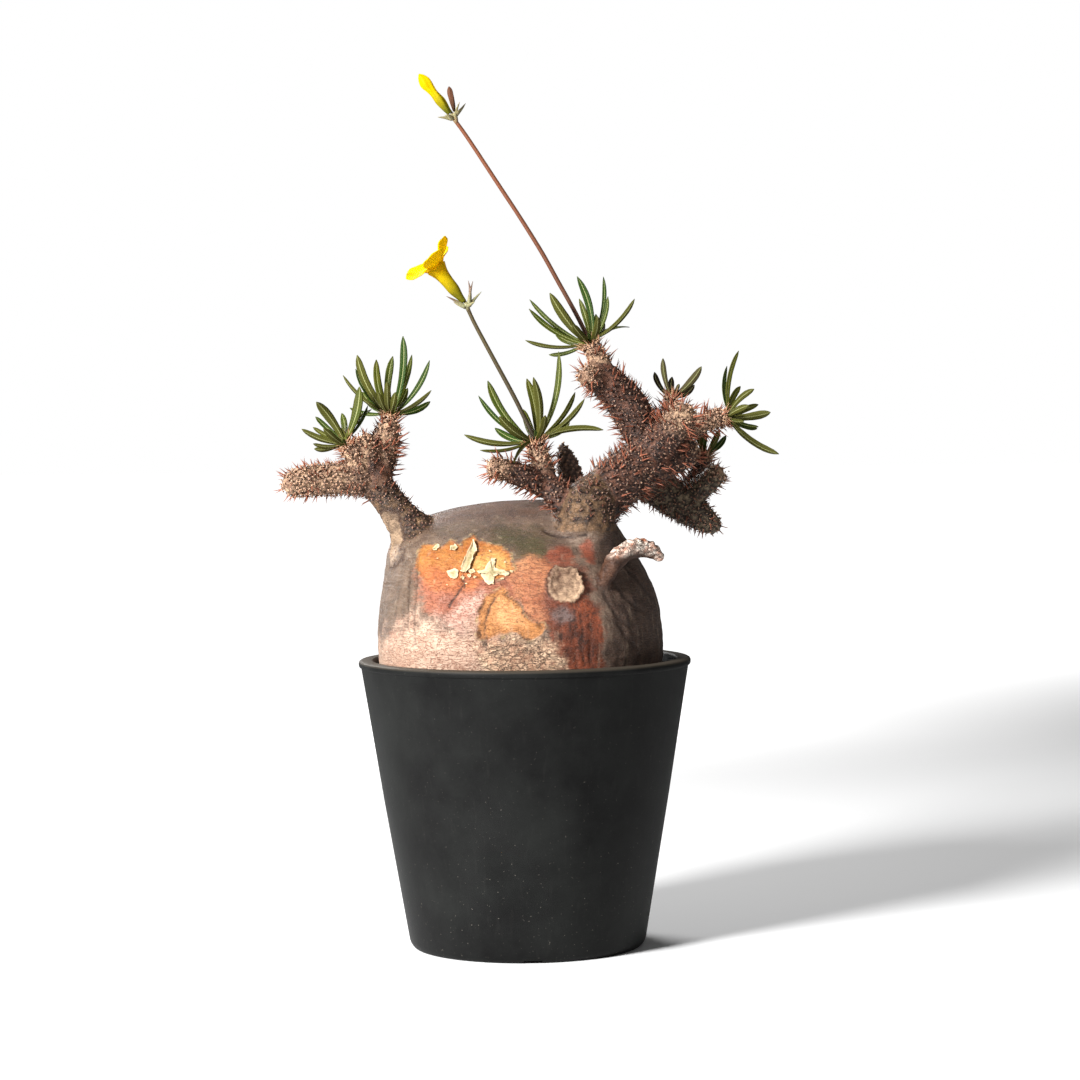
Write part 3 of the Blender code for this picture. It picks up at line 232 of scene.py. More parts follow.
# Colour zones of the caudex's skin, in the order in which they lie over each other: the two shades of each, how far
# its edge wanders and how soft it is in millimetres, its outlines on the front in the XZ plane, and the ellipsoids
# that it fills on the other sides as (x, y, z, half extents along x, y and z).
ZONES = {
    "violet_crown": ("#594031", "#38281e", 3, 9, [
        [(-50, 190), (-34, 191), (-14, 193), (8, 194), (22, 200), (20, 208), (-50, 208)]], [
        (-12, 24, 200, 60, 44, 12)]),
    "olive_shoulder": ("#574530", "#383023", 3, 8, [
        [(-44, 191), (-30, 189.5), (-10, 192), (10, 190), (12, 183), (10, 177), (2, 175), (-4, 179), (-14, 185),
         (-24, 187), (-36, 185)]], [
        (0, 30, 186, 44, 22, 10), (44, -20, 190, 16, 20, 8)]),
    "moss_tint": ("#4e4930", "#38341f", 3, 7, [
        [(-12, 187), (-2, 189), (10, 186), (11, 180), (3, 177), (-6, 181), (-14, 184)]], []),
    "grey_flank": ("#756251", "#4b3d30", 4, 8, [
        [(-66, 182), (-56, 190), (-47, 186), (-46, 176), (-47, 162), (-50, 152), (-66, 148)]], [
        (-50, 20, 160, 20, 24, 26)]),
    "tan_back": ("#725a48", "#523f32", 5, 9, [], [(-24, 46, 150, 30, 26, 20), (34, 40, 168, 16, 22, 10)]),
    "cream_foot": ("#c8ac96", "#a5806b", 7, 9, [
        [(-70, 136), (-62, 141), (-57, 146), (-51, 149), (-47, 153), (-43, 150), (-34, 147), (-27, 149), (-18, 148),
         (-12, 144), (2, 141), (12, 139), (16, 130), (16, 110), (-70, 110)]], [
        (-8, 52, 124, 44, 24, 9), (-58, 10, 126, 12, 40, 14)]),
    "salmon_belly": ("#a8664a", "#80432f", 3, 7, [
        [(-47, 172), (-30, 169), (-10, 169), (-4, 172), (2, 166), (-4, 158), (-14, 152), (-26, 151), (-38, 153),
         (-45, 158)]], []),
    "pink_blush": ("#cba999", "#b08270", 5, 8, [
        [(-32, 157), (-22, 161), (-14, 160), (-15, 153), (-24, 148), (-34, 151)]], []),
    "red_shoulder": ("#c0845b", "#9b5737", 3.5, 6, [
        [(-7, 175), (4, 178), (11, 176), (16, 172), (18, 160), (16, 152), (10, 148), (4, 150), (-2, 158),
         (-6, 166)]], []),
    "red_collar": ("#8a4a33", "#5a3022", 4, 6, [
        [(8, 176), (15, 177), (24, 174), (29, 168), (29, 160), (22, 152), (12, 150), (8, 156), (12, 166), (10, 172)]],
        []),
    "orange_peel": ("#b67a3b", "#9d5826", 1.8, 1.4, [
        [(-46, 180), (-43, 183), (-36, 182), (-31, 184), (-27, 182), (-23, 187.5), (-20, 184), (-15, 183.4),
         (-10, 182), (-6, 178), (-4, 173), (-8, 170), (-16, 168.6), (-24, 170), (-30, 168), (-38, 167.6),
         (-44, 169), (-47, 174)]], []),
    # Painted highlight: a lighter heart in the smooth orange peel, where the light catches it.
    "peel_painted_highlight": ("#d8a764", "#c68844", 1.5, 3, [
        [(-21, 179), (-14, 181), (-8, 178), (-6, 174), (-10, 171), (-18, 171), (-22, 174)]], []),
    "orange_glow": ("#bb6d3c", "#9e562f", 3, 5, [
        [(-46, 174), (-38, 172), (-28, 171), (-18, 170), (-20, 165), (-30, 163), (-42, 165)]], []),
    "rust_flank": ("#884124", "#3d1a0e", 2.5, 3.5, [
        [(12, 158), (20, 160), (29, 159), (34, 154), (36, 146), (33, 139), (35, 132), (32, 124), (14, 124), (15, 134),
         (12, 142), (10, 150)]], [
        (36, 44, 136, 14, 20, 12), (28, 50, 149, 8, 18, 10), (44, 38, 126, 12, 18, 9)]),
    "slate_scuff": ("#6f5f5c", "#5c463f", 2, 4, [
        [(12, 154), (17, 156.5), (22, 154.5), (22, 151), (16, 149.5), (12, 151)]], []),
    "scar_blush": ("#94513a", "#6b3526", 2, 3, [
        [(8, 178), (13, 181.4), (20, 180.6), (24, 177), (20, 174.6), (12, 175.4)],
        [(25, 182), (29, 184), (33, 179), (32, 174.6), (28, 175)]], []),
    "young_window": ("#bd7e46", "#8f5c31", 1.8, 1.3, [
        [(-19.6, 156.6), (-16.4, 160.4), (-12.6, 163), (-9.6, 165.4), (-6.4, 163.4), (-3, 158.6), (0.4, 153.6),
         (4.6, 150), (9.4, 149), (10, 146.4), (6.2, 143.4), (0, 143), (-4.4, 145.2), (-10, 144.6), (-15.6, 142.6),
         (-19, 144), (-21, 148.4), (-19, 152)]], []),
    # Painted highlight: a lighter patch in the smooth young window, where the light catches it.
    "window_painted_highlight": ("#d59a66", "#be7d47", 2, 5, [
        [(-12, 159), (-7, 161), (-3, 155), (0, 149), (-6, 147), (-12, 150)]], []),
    "scab": ("#eacaa9", "#aa8367", 3.5, 4, [
        [(-20, 142), (-10, 142.6), (-2, 143.4), (6, 143), (14, 141), (17, 134), (16, 122), (-10, 122), (-18, 130),
         (-19, 137)]], []),
    # Painted shade: this zone darkens the caudex's right flank, on the side away from the key light, in its colour.
    "painted_shade_flank": ("#504034", "#251b15", 3.5, 5, [
        [(35, 190), (34, 176), (33, 164), (36, 156), (38, 146), (35, 138), (37, 128), (35, 108), (80, 108), (80, 196)]], [
        (66, -8, 148, 26, 46, 60)]),
    "pale_lens": ("#a68b70", "#6f5946", 2.2, 2, [
        [(-66, 197), (-61, 198.6), (-57, 195), (-54.4, 190), (-53.6, 184), (-54.6, 178), (-57.6, 173.4),
         (-59.6, 176), (-62, 184), (-68, 192)]], []),
}
PEELED = ("orange_peel", "young_window")
OVER_LIMBS = ("pale_lens",)
WRINKLED = ("cream_foot", "salmon_belly", "pink_blush", "red_shoulder", "scab")
PEEL_DEPTH = 0.45

# Creases and cracks, each as how deep and how wide it is, how dark, and the line that it follows on the skin.
CREASES = [
    (1, 0.7, 0.95, [(9.4, -35, 188.8), (13, -37, 187), (17.5, -38, 185.8), (23, -38.5, 185.8), (28.5, -36, 187)]),
    (0.5, 0.5, 1, [(-25.4, -50, 167.4), (-28.7, -52, 162), (-32.6, -54, 156.5)]),
    (0.5, 0.5, 1, [(-27, -47, 172), (-26.2, -49, 168), (-25.4, -50, 165)]),
    (0.6, 0.6, 0.9, [(-12, -53, 161), (-15.6, -54, 154.8), (-16.8, -56, 148), (-16.4, -57, 140)]),
    (0.5, 0.5, 0.8, [(-19.8, -54, 147), (-17.6, -56, 142), (-16.2, -57, 138)]),
    (0.5, 0.5, 0.7, [(-8, -53, 162.5), (-3, -54, 158.5), (2, -55, 153.5), (8, -55, 147.5), (9, -56, 142)]),
    (0.4, 0.5, 0.6, [(-14, -56, 139), (-6, -57, 139.6), (2, -57, 141), (7, -57, 139)]),
    (0.4, 0.5, 0.7, [(24.5, -50, 153), (25.6, -51, 145), (25, -52, 138), (26.4, -52, 131)]),
    (0.35, 0.45, 0.5, [(28.6, -48, 152), (29.4, -49, 143), (28.6, -50, 135), (30, -50, 130)]),
    (0.35, 0.45, 0.4, [(22, -51, 147), (22.4, -52, 138), (23.2, -53, 130)]),
    (0.4, 0.6, 0.5, [(-46.5, -36, 176), (-47, -40, 164), (-48, -42, 152), (-47.6, -42, 140)]),
    (0.4, 0.6, 0.5, [(-49.6, -34, 172), (-50.6, -37, 160), (-51, -38, 146)]),
    (0.5, 0.8, 0.6, [(35, -46, 162), (38, -45, 156), (42, -42, 150), (47, -38, 146)]),
    (0.5, 0.8, 0.6, [(39, -43, 166), (43, -41, 161), (48, -36, 156), (53, -30, 152)]),
    (0.5, 0.8, 0.6, [(45, -36, 172), (49, -32, 168), (53, -27, 163), (57, -20, 158)]),
    (0.4, 0.8, 0.5, [(41, -44, 148), (45, -41, 142), (50, -37, 136)]),
    (0.5, 0.9, 0.5, [(-30, 50, 168), (-26, 54, 156), (-27, 56, 142), (-22, 57, 130)]),
    (0.5, 0.9, 0.5, [(16, 52, 166), (20, 55, 152), (17, 57, 138)]),
]

# Dry bark that has come loose, as how far each flake's edge lifts, how much its edge curls back, and its outline in the
# XZ plane.
FLAKES = {
    "flake_strip": (1.7, 0.75, [(-21, 185.6), (-19.4, 181.6), (-21.2, 177.4), (-23, 172), (-25, 169.8), (-27.6, 170.6),
                                (-26.6, 175), (-24, 179.6)]),
    "flake_star": (0.35, 0.1, [(-20.2, 171.4), (-16.6, 172.6), (-14.4, 176.6), (-12.2, 177.4), (-12, 173), (-8.6, 172.2),
                               (-5.6, 170.8), (-6.4, 169.6), (-10.6, 170.4), (-12.6, 169.4), (-13, 166.2),
                               (-15.6, 166), (-17.2, 168), (-18.2, 170)]),
    "flake_west": (0.4, 0.2, [(-33.2, 171.6), (-31, 172.6), (-28.6, 172.4), (-28, 170), (-29.6, 168.6), (-32.4, 169)]),
    "flake_small_a": (0.8, 0.6, [(-39.4, 182), (-37.2, 183), (-36, 182.4), (-38, 180.4), (-39.6, 180)]),
    "flake_small_b": (0.8, 0.6, [(-31.6, 182.4), (-28.8, 183.2), (-28, 182), (-30.2, 179.8), (-32.2, 180)]),
    "flake_mid": (0.3, 0.2, [(-24.2, 172.2), (-21.6, 172.8), (-20.6, 171.4), (-22.8, 170.4)]),
}
# Crumbs of the same bark, as (x, z, size).
CRUMBS = [(-26.4, 169, 1.1), (-23.4, 169.8, 0.8), (-21, 169.2, 0.7), (-9, 168.6, 0.9), (-5, 171.6, 0.7),
          (-37.4, 177, 0.35), (-14.4, 180, 0.4), (-24.6, 166.6, 0.4), (-7.8, 175.4, 0.5), (-33, 166, 0.3)]


def mm(*values):
    return Vector(values) * MM


def linear(shade):
    """An sRGB hex colour as linear red, green, blue and alpha."""
    parts = [int(shade[i : i + 2], 16) / 255 for i in (1, 3, 5)]
    return (*[c / 12.92 if c <= 0.04045 else ((c + 0.055) / 1.055) ** 2.4 for c in parts], 1)


def add(tree, kind, settings=(), links=()):
    """Adds a node with its settings, and gives its inputs values or links from other nodes' sockets."""
    node = tree.nodes.new(kind)
    for name, value in dict(settings).items():
        setattr(node, name, value)
    for name, value in dict(links).items():
        if isinstance(name, str):
            socket = next(s for s in node.inputs if s.enabled and s.name == name)
        else:
            socket = node.inputs[name]
        if isinstance(value, bpy.types.Node):
            value = next(s for s in value.outputs if s.enabled)
        if isinstance(value, bpy.types.NodeSocket):
            tree.links.new(value, socket)
        else:
            socket.default_value = value
    return node


def new_material(name):
    """An empty node material, and the tree that is filled in."""
    made = bpy.data.materials.new(name)
    made.use_nodes = True
    made.node_tree.nodes.clear()
    return made, made.node_tree


def mesh_object(name, bm, smooth=True):
    """Turns a bmesh into a named object with its faces pointing out."""
    bmesh.ops.recalc_face_normals(bm, faces=bm.faces)
    mesh = bpy.data.meshes.new(name)
    bm.to_mesh(mesh)
    bm.free()
    if smooth:
        mesh.shade_smooth()
    obj = bpy.data.objects.new(name, mesh)
    bpy.context.scene.collection.objects.link(obj)
    return obj


def baked(obj):
    """Replaces an object's mesh with the one that its modifiers give."""
    graph = bpy.context.evaluated_depsgraph_get()
    mesh = bpy.data.meshes.new_from_object(obj.evaluated_get(graph))
    obj.modifiers.clear()
    obj.data = mesh
    return obj


def place(obj, slot, material, *nodes):
    """Gives a finished piece its material, its body and the solids that it stands for; its slot is not used."""
    obj.data.materials.clear()
    obj.data.materials.append(material)
    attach(obj, BODY)
    if nodes:
        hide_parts(*nodes)


def attribute(mesh, name, values, kind="FLOAT"):
    """Stores one number or vector for each vertex of a mesh."""
    layer = mesh.attributes.new(name, kind, "POINT")
    field = "vector" if kind == "FLOAT_VECTOR" else "value"
    layer.data.foreach_set(field, np.asarray(values, np.float32).ravel())


def read_vectors(values, field):
    found = np.empty(len(values) * 3, np.float32)
    values.foreach_get(field, found)
    return found.reshape(-1, 3).astype(float)


def smooth_path(points, steps):
    """A Catmull-Rom curve through points, with a number of steps between each two."""
    p = np.array(points, float)
    ends = np.vstack([2 * p[0] - p[1], p, 2 * p[-1] - p[-2]])
    made = []
    for i in range(1, len(ends) - 2):
        a, b, c, d = ends[i - 1 : i + 3]
        for t in np.arange(steps) / steps:
            curved = (2 * a - 5 * b + 4 * c - d) * t**2 + (3 * b - a - 3 * c + d) * t**3
            made.append(0.5 * (2 * b + (c - a) * t + curved))
    made.append(p[-1])
    return np.array(made)


def rounded_path(points, steps):
    """The smooth path of a limb with a round tip."""
    path = smooth_path(points, steps)
    ahead = path[-1][:3] - path[-2][:3]
    ahead /= np.linalg.norm(ahead)
    radius = path[-1][3]
    dome = [[*(path[-1][:3] + ahead * radius * math.sin(a)), radius * math.cos(a)] for a in np.radians([20, 40, 58, 72, 83, 89])]
    return np.vstack([path, dome])


def tube_mesh(path, sides):
    """A closed tube along a path of (x, y, z, radius) in millimetres."""
    curve = bpy.data.curves.new("path", "CURVE")
    curve.dimensions = "3D"
    curve.bevel_depth = 1
    curve.bevel_resolution = sides // 2 - 2
    curve.use_fill_caps = True
    spline = curve.splines.new("POLY")
    spline.points.add(len(path) - 1)
    for point, (x, y, z, radius) in zip(spline.points, path):
        point.co = (x * MM, y * MM, z * MM, 1)
        point.radius = radius * MM
    obj = bpy.data.objects.new("path", curve)
    bpy.context.scene.collection.objects.link(obj)
    graph = bpy.context.evaluated_depsgraph_get()
    mesh = bpy.data.meshes.new_from_object(obj.evaluated_get(graph))
    bpy.data.objects.remove(obj, do_unlink=True)
    return mesh


def turned(name, profile, segments):
    """A closed solid turned about Z from a profile of (radius, height) that runs down its outer side."""
    mesh = bpy.data.meshes.new(name)
    points = [(r * MM, 0, z * MM) for r, z in profile]
    mesh.from_pydata(points, [(i, i + 1) for i in range(len(points) - 1)], [])
    obj = bpy.data.objects.new(name, mesh)
    bpy.context.scene.collection.objects.link(obj)
    screw = obj.modifiers.new("turn", "SCREW")
    screw.steps = segments
    screw.render_steps = segments
    screw.use_merge_vertices = True
    screw.merge_threshold = 0.01 * MM
    return baked(obj)


def ease(values, low, high):
    """A smooth step from 0 at low to 1 at high."""
    t = np.clip((values - low) / (high - low), 0, 1)
    return t * t * (3 - 2 * t)


def grain(points, size, seed=0):
    """Smooth noise between -1 and 1 at points in millimetres, with lumps of a given size."""
    shift = Vector((seed * 17.3, seed * -9.1, seed * 5.7))
    scale = Vector((1 / s for s in size)) if isinstance(size, tuple) else Vector((1 / size,) * 3)
    return np.array([noise.noise(Vector(p) * scale + shift) for p in points])


def distance_to_line(points, line, steps=8):
    """How far each point lies from a smooth line through some spots."""
    spots = smooth_path(line, steps)
    found = np.full(len(points), 1e9)
    for a, b in zip(spots, spots[1:]):
        along = b - a
        t = np.clip((points - a) @ along / (along @ along), 0, 1)
        found = np.minimum(found, np.linalg.norm(points - a - t[:, None] * along, axis=1))
    return found


def caudex_shell():
    """The swelling as a closed grid of rings on the caudex's sections, capped below the soil."""
    rows = smooth_path(CAUDEX_SECTIONS, CAUDEX_RINGS // (len(CAUDEX_SECTIONS) - 1))
    bm = bmesh.new()
    rings = []
    power = 2 / CAUDEX_SQUARENESS
    for height, half_width, half_depth, cx, cy in rows[:-1]:
        ring = []
        for k in range(CAUDEX_SEGMENTS):
            turn = 2 * math.pi * k / CAUDEX_SEGMENTS
            c, s = math.cos(turn), math.sin(turn)
            x = cx + math.copysign(abs(c) ** power, c) * max(half_width, 0.2)
            y = cy + math.copysign(abs(s) ** power, s) * max(half_depth, 0.2)
            ring.append(bm.verts.new(mm(x, y, height)))
        rings.append(ring)
    for a, b in zip(rings, rings[1:]):
        for k in range(CAUDEX_SEGMENTS):
            j = (k + 1) % CAUDEX_SEGMENTS
            bm.faces.new((a[k], a[j], b[j], b[k]))
    bm.faces.new(list(reversed(rings[0])))
    bm.faces.new(rings[-1])
    return bm


def grown_together(voxel):
    """The caudex, limbs, horn and scar as one closed skin, blended where they meet and cut off below the soil."""
    bm = caudex_shell()
    for points in [*LIMBS.values(), HORN]:
        bm.from_mesh(tube_mesh(rounded_path(points, 6), LIMB_SIDES))
    inward = Vector(SCAR_INWARD).normalized()
    turn = inward.to_track_quat("Z", "Y").to_matrix().to_4x4()
    where = Matrix.Translation(mm(*SCAR_CENTRE) + inward * 1.8 * MM) @ turn
    bmesh.ops.create_cone(bm, cap_ends=True, segments=48, radius1=SCAR_RADIUS * MM, radius2=SCAR_RADIUS * 1.1 * MM,
                          depth=6.4 * MM, matrix=where)
    skin = mesh_object("plant_skin", bm)
    remesh = skin.modifiers.new("remesh", "REMESH")
    remesh.mode = "VOXEL"
    remesh.voxel_size = voxel * MM
    remesh.use_smooth_shade = True
    smooth = skin.modifiers.new("smooth", "SMOOTH")
    smooth.factor = 0.5
    smooth.iterations = 5
    baked(skin)
    bm = bmesh.new()
    bm.from_mesh(skin.data)
    everything = [*bm.verts, *bm.edges, *bm.faces]
    bmesh.ops.bisect_plane(bm, geom=everything, plane_co=mm(0, 0, SOIL_CUT), plane_no=(0, 0, 1), clear_inner=True)
    bmesh.ops.holes_fill(bm, edges=[e for e in bm.edges if e.is_boundary])
    bm.to_mesh(skin.data)
    bm.free()
    skin.data.shade_smooth()
    return skin


def limb_gaps(points):
    """For each point: how far it is from the nearest limb's skin and from that limb's outermost tip, how pale the
    limb is there, how olive it is, and how far it is from the scaly limb."""
    gap, to_tip, scaly = (np.full(len(points), 1e9) for _ in range(3))
    pale, olive = np.zeros((2, len(points)))
    for name, spots in LIMBS.items():
        path = rounded_path(spots, 6)
        runs = np.concatenate([[0], np.cumsum(np.linalg.norm(np.diff(path[:, :3], axis=0), axis=1))])
        away = np.linalg.norm(points[:, None, :] - path[None, :, :3], axis=2) - path[None, :, 3]
        least = away.min(axis=1)
        if name == SCALY_LIMB:
            scaly = least
        closer = least < gap
        gap[closer] = least[closer]
        left = (runs[-1] - runs[away.argmin(axis=1)])[closer]
        to_tip[closer] = left + REACH_PAST.get(name, 0)
        olive[closer] = name in OLIVE_LIMBS
        pale[closer] = ease(-left / PALE_RUN.get(name, 5), -1.1, -0.4) * (name not in REACH_PAST)
    return gap, to_tip, pale, olive, scaly


def caudex_gap(points):
    """How far each point lies outside the caudex's level sections."""
    rows = np.array(CAUDEX_SECTIONS)
    hw, hd, cx, cy = (np.interp(points[:, 2], rows[:, 0], rows[:, k]) for k in range(1, 5))
    hw, hd = np.maximum(hw, 1), np.maximum(hd, 1)
    reach = np.hypot((points[:, 0] - cx) / hw, (points[:, 1] - cy) / hd)
    above = np.maximum(points[:, 2] - rows[-1][0], 0)
    return (reach - 1) * np.minimum(hw, hd) + above


def limb_spots(area, seed):
    """Spots all over the limbs along golden spirals, with the way out, the limb's way and the run to its tip."""
    rng = np.random.default_rng(seed)
    found = []
    for name, spots in LIMBS.items():
        path = rounded_path(spots, 4)
        centres = [Vector(p[:3]) for p in path]
        runs = np.concatenate([[0], np.cumsum(np.linalg.norm(np.diff(path[:, :3], axis=0), axis=1))])
        areas = np.concatenate([[0], np.cumsum([
            math.pi * (path[i][3] + path[i + 1][3]) * (runs[i + 1] - runs[i]) for i in range(len(path) - 1)])])
        for i in range(int(areas[-1] / area)):
            at = float(np.interp((i + 0.5 + rng.uniform(-3, 3)) * area, areas, runs))
            k = min(max(int(np.searchsorted(runs, at)), 1), len(path) - 1)
            ahead = (centres[k] - centres[k - 1]).normalized()
            side = ahead.orthogonal().normalized()
            centre = centres[k - 1].lerp(centres[k], (at - runs[k - 1]) / (runs[k] - runs[k - 1]))
            turn = i * GOLDEN_ANGLE + rng.uniform(-0.12, 0.12)
            out = side * math.cos(turn) + ahead.cross(side) * math.sin(turn)
            radius = float(np.interp(at, runs, path[:, 3]))
            past = max(0.0, (at - runs[-7]) / max(runs[-1] - runs[-7], 1e-6))
            to_tip = runs[-1] - at + REACH_PAST.get(name, 0)
            found.append((name, centre + out * radius, (out + ahead * past * 1.4).normalized(), ahead, to_tip))
    return found


def areoles_on(skin, area):
    """The cushions that bear the spines, seated on the skin: place, way out, limb's way, run to tip, limb's name."""
    tree = BVHTree.FromObject(skin, bpy.context.evaluated_depsgraph_get())
    spots = limb_spots(area, SEED)
    points = np.array([s[1] for s in spots])
    names = np.array([s[0] for s in spots])
    free = caudex_gap(points) > np.where(names == "west_stem", -2.5, 0.6)
    for name, line in LIMBS.items():
        path = rounded_path(line, 6)
        away = (np.linalg.norm(points[:, None, :] - path[None, :, :3], axis=2) - path[None, :, 3]).min(axis=1)
        free &= (names == name) | (away > 0.5)
    kept = []
    taken = np.empty((0, 3))
    for i in np.flatnonzero(free):
        name, spot, out, ahead, to_tip = spots[i]
        seat, normal, _, _ = tree.find_nearest(spot * MM)
        seat = seat / MM
        if name == "west_stem" and (seat.z < 201 and normal.z < 0.25):
            continue
        if name == "trunk" and (seat.z < 191 or noise.noise(seat / 3.4) < (194 - seat.z) / 16):
            continue
        if len(taken) and np.linalg.norm(taken - np.array(seat), axis=1).min() < 1.45:
            continue
        taken = np.vstack([taken, seat])
        kept.append((seat, (normal + out * 0.4).normalized(), ahead, to_tip, name))
    return kept


def zone_field(points, outlines, lobes):
    """How far inside a colour zone each point lies, in millimetres, and negative outside it."""
    field = np.full(len(points), -50.0)
    for outline in outlines:
        ring = np.array(outline + outline[:1], float)
        flat = points[:, [0, 2]]
        near = np.full(len(points), 1e9)
        inside = np.zeros(len(points), bool)
        for a, b in zip(ring, ring[1:]):
            along = b - a
            t = np.clip((flat - a) @ along / (along @ along), 0, 1)
            near = np.minimum(near, np.linalg.norm(flat - a - t[:, None] * along, axis=1))
            spans = (a[1] > flat[:, 1]) != (b[1] > flat[:, 1])
            cut = a[0] + (flat[:, 1] - a[1]) * along[0] / (along[1] or 1e-9)
            inside ^= spans & (flat[:, 0] < cut)
        front = np.where(inside, near, -near) - np.maximum(points[:, 1] + 14, 0)
        field = np.maximum(field, front)
    for x, y, z, rx, ry, rz in lobes:
        reach = np.linalg.norm((points - (x, y, z)) / (rx, ry, rz), axis=1)
        field = np.maximum(field, (1 - reach) * min(rx, rz))
    return field


def dress_skin(skin, areoles):
    """Gives the skin its relief, and stores where its colour zones, cracks, warts and woolly tips are."""
    mesh = skin.data
    points = read_vectors(mesh.vertices, "co") / MM
    outward = read_vectors(mesh.vertex_normals, "vector")
    gap, to_tip, pale, olive, scaly = limb_gaps(points)
    horn = ease(1.6 - (distance_to_line(points, [h[:3] for h in HORN]) - 3.9), 0, 1.2)
    horn *= ease(points[:, 2], 161, 166) * (points[:, 0] > 32)
    outside = caudex_gap(points)
    limb = ease(outside - gap, -1, 3.5) * (1 - horn)
    west = points[:, 0] < -30
    limb *= np.where(outside < 14, ease(points[:, 2], np.where(west, 181, 186.5), np.where(west, 187, 189.5)), 1)
    bare = 1 - limb
    fine = grain(points, 1.9, 1)
    coarse = grain(points, 5.5, 2)

    rise = bare * (0.22 * grain(points, (15, 15, 3.4), 3) + 0.08 * grain(points, (6, 6, 1.3), 4))
    attribute(mesh, "limb", limb)
    wrinkled, crack = np.zeros((2, len(points)))
    wander = np.stack([grain(points, 7, 6) + 0.5 * fine, np.zeros(len(points)), grain(points, 7, 7) + 0.5 * coarse], 1)
    for name, (_, _, ragged, soft, outlines, lobes) in ZONES.items():
        field = zone_field(points + ragged * wander, outlines, lobes)
        field = np.clip(field / soft, -3, 3)
        if name in PEELED:
            lip = np.exp(-(((field + 0.2) / 0.35) ** 2)) * (0.5 + 0.8 * coarse)
            rise += bare * (0.4 * lip - PEEL_DEPTH * ease(field, -0.1, 0.5))
        if name == "scab":
            rise += bare * ease(field, -0.3, 0.8) * 0.42 * np.tanh(3 * grain(points, (3, 3, 1.3), 30))
        if name == "painted_shade_flank":
            rise += bare * ease(field, 0, 1) * 0.45 * grain(points, (6, 3, 9), 32)
        if name == "pale_lens":
            rise += 0.3 * np.exp(-((field / 0.5) ** 2)) - 0.4 * ease(field, 0, 1)
        if name == "young_window":
            crack = np.maximum(crack, 0.8 * np.exp(-(((field - 0.3) / 0.4) ** 2)) * ease(coarse, 0, 0.2))
        if name == "rust_flank":
            rise += bare * ease(field, 0, 1) * 0.3 * grain(points, (1.8, 3, 14), 31)
            upright = grain(points, (2.4, 3, 17), 37)
            crack = np.maximum(crack, 0.75 * ease(field, 0, 1) * ease(0.07 - np.abs(upright), 0, 0.05))
        if name in WRINKLED:
            wrinkled = np.maximum(wrinkled, ease(field, -0.5, 1))
        elif name not in OVER_LIMBS:
            wrinkled *= 1 - 0.85 * ease(field, -0.5, 1)
        attribute(mesh, "zone_" + name, field)
    attribute(mesh, "wrinkled", wrinkled)

    root = ease(to_tip, 66, 84)
    ring = np.sin(to_tip * 2 * math.pi / 3.1 + 2.5 * coarse)
    rise += limb * root * 0.16 * ring
    crack = np.maximum(crack, limb * root * 0.4 * ease(-ring, 0.6, 1))
    for depth, width, dark, line in CREASES:
        flat = points * (1, 0, 1) + 0.5 * np.stack([fine, 0 * fine, coarse], 1)
        near = distance_to_line(flat, [(x, 0, z) for x, _, z in line]) + 50 * (points[:, 1] * line[0][1] < 0)
        rise -= depth * np.exp(-((near / width) ** 2))
        crack = np.maximum(crack, dark * np.exp(-((near / (width * 0.8)) ** 2)))

    inward = np.array(Vector(SCAR_INWARD).normalized())
    offset = points - SCAR_CENTRE
    height = -offset @ inward
    reach = np.linalg.norm(offset + height[:, None] * inward, axis=1)
    on_scar = (reach < SCAR_RADIUS * 1.3) & (height > -3)
    rim = np.exp(-(((reach - SCAR_RADIUS + 0.3) / 0.7) ** 2)) * (0.55 + 0.9 * grain(points, 1.5, 33))
    dish = ease(SCAR_RADIUS - reach, 0, 2) * (0.35 * grain(points, (1.2, 3, 2.6), 34) - 0.35)
    rise += np.where(on_scar, 0.8 * rim + dish, 0)
    radial = (offset + height[:, None] * inward) / np.maximum(reach, 0.5)[:, None]
    around = np.stack([radial[:, 0] * 2.2, radial[:, 1] * 2.2, radial[:, 2] * 2.2], 1)
    frill = 1.8 * grain(around, 1.4, 40) + 1.2 * grain(around, 0.35, 41) - 0.3
    near_rim = np.exp(-(((reach - SCAR_RADIUS) / 1.5) ** 2)) * (np.abs(height) < 4)
    sideways = radial * (near_rim * frill)[:, None]
    scar = np.where(on_scar, ease(SCAR_RADIUS + 0.5 - reach, 0, 0.6), 0)
    attribute(mesh, "scar", scar)
    lower_right = (offset[:, 0] - offset[:, 2]) / SCAR_RADIUS
    fair = 0.45 + 0.3 * lower_right + 0.6 * rim + 0.5 * grain(points, (1.2, 3, 2.4), 42)
    attribute(mesh, "scar_fair", np.clip(fair, 0, 1))
    gully = np.exp(-(((reach - SCAR_RADIUS - 0.5) / 0.6) ** 2)) * ease(-lower_right, -0.6, 0.4)
    crack = np.maximum(crack, np.where(on_scar, gully, 0) * 0.9)

    crust = np.tanh(4 * grain(points, (2.2, 3, 1.8), 35))
    rise += horn * ease(outward[:, 2], -0.1, 0.4) * 0.4 * crust + horn * 0.25 * grain(points, (4, 4, 1.1), 36)
    attribute(mesh, "horn", horn)
    # The horn's pale crust plates lie only on its upper faces: partly the crust's own colour, partly painted light that
    # makes the top lighter and leaves the rest darker, as if lit from above.
    on_top = ease(outward[:, 2] + 0.08 * (points[:, 0] - 44), -0.1, 0.35) * ease(points[:, 2], 170, 175)
    attribute(mesh, "crust", horn * on_top * ease(crust, -1, -0.7))

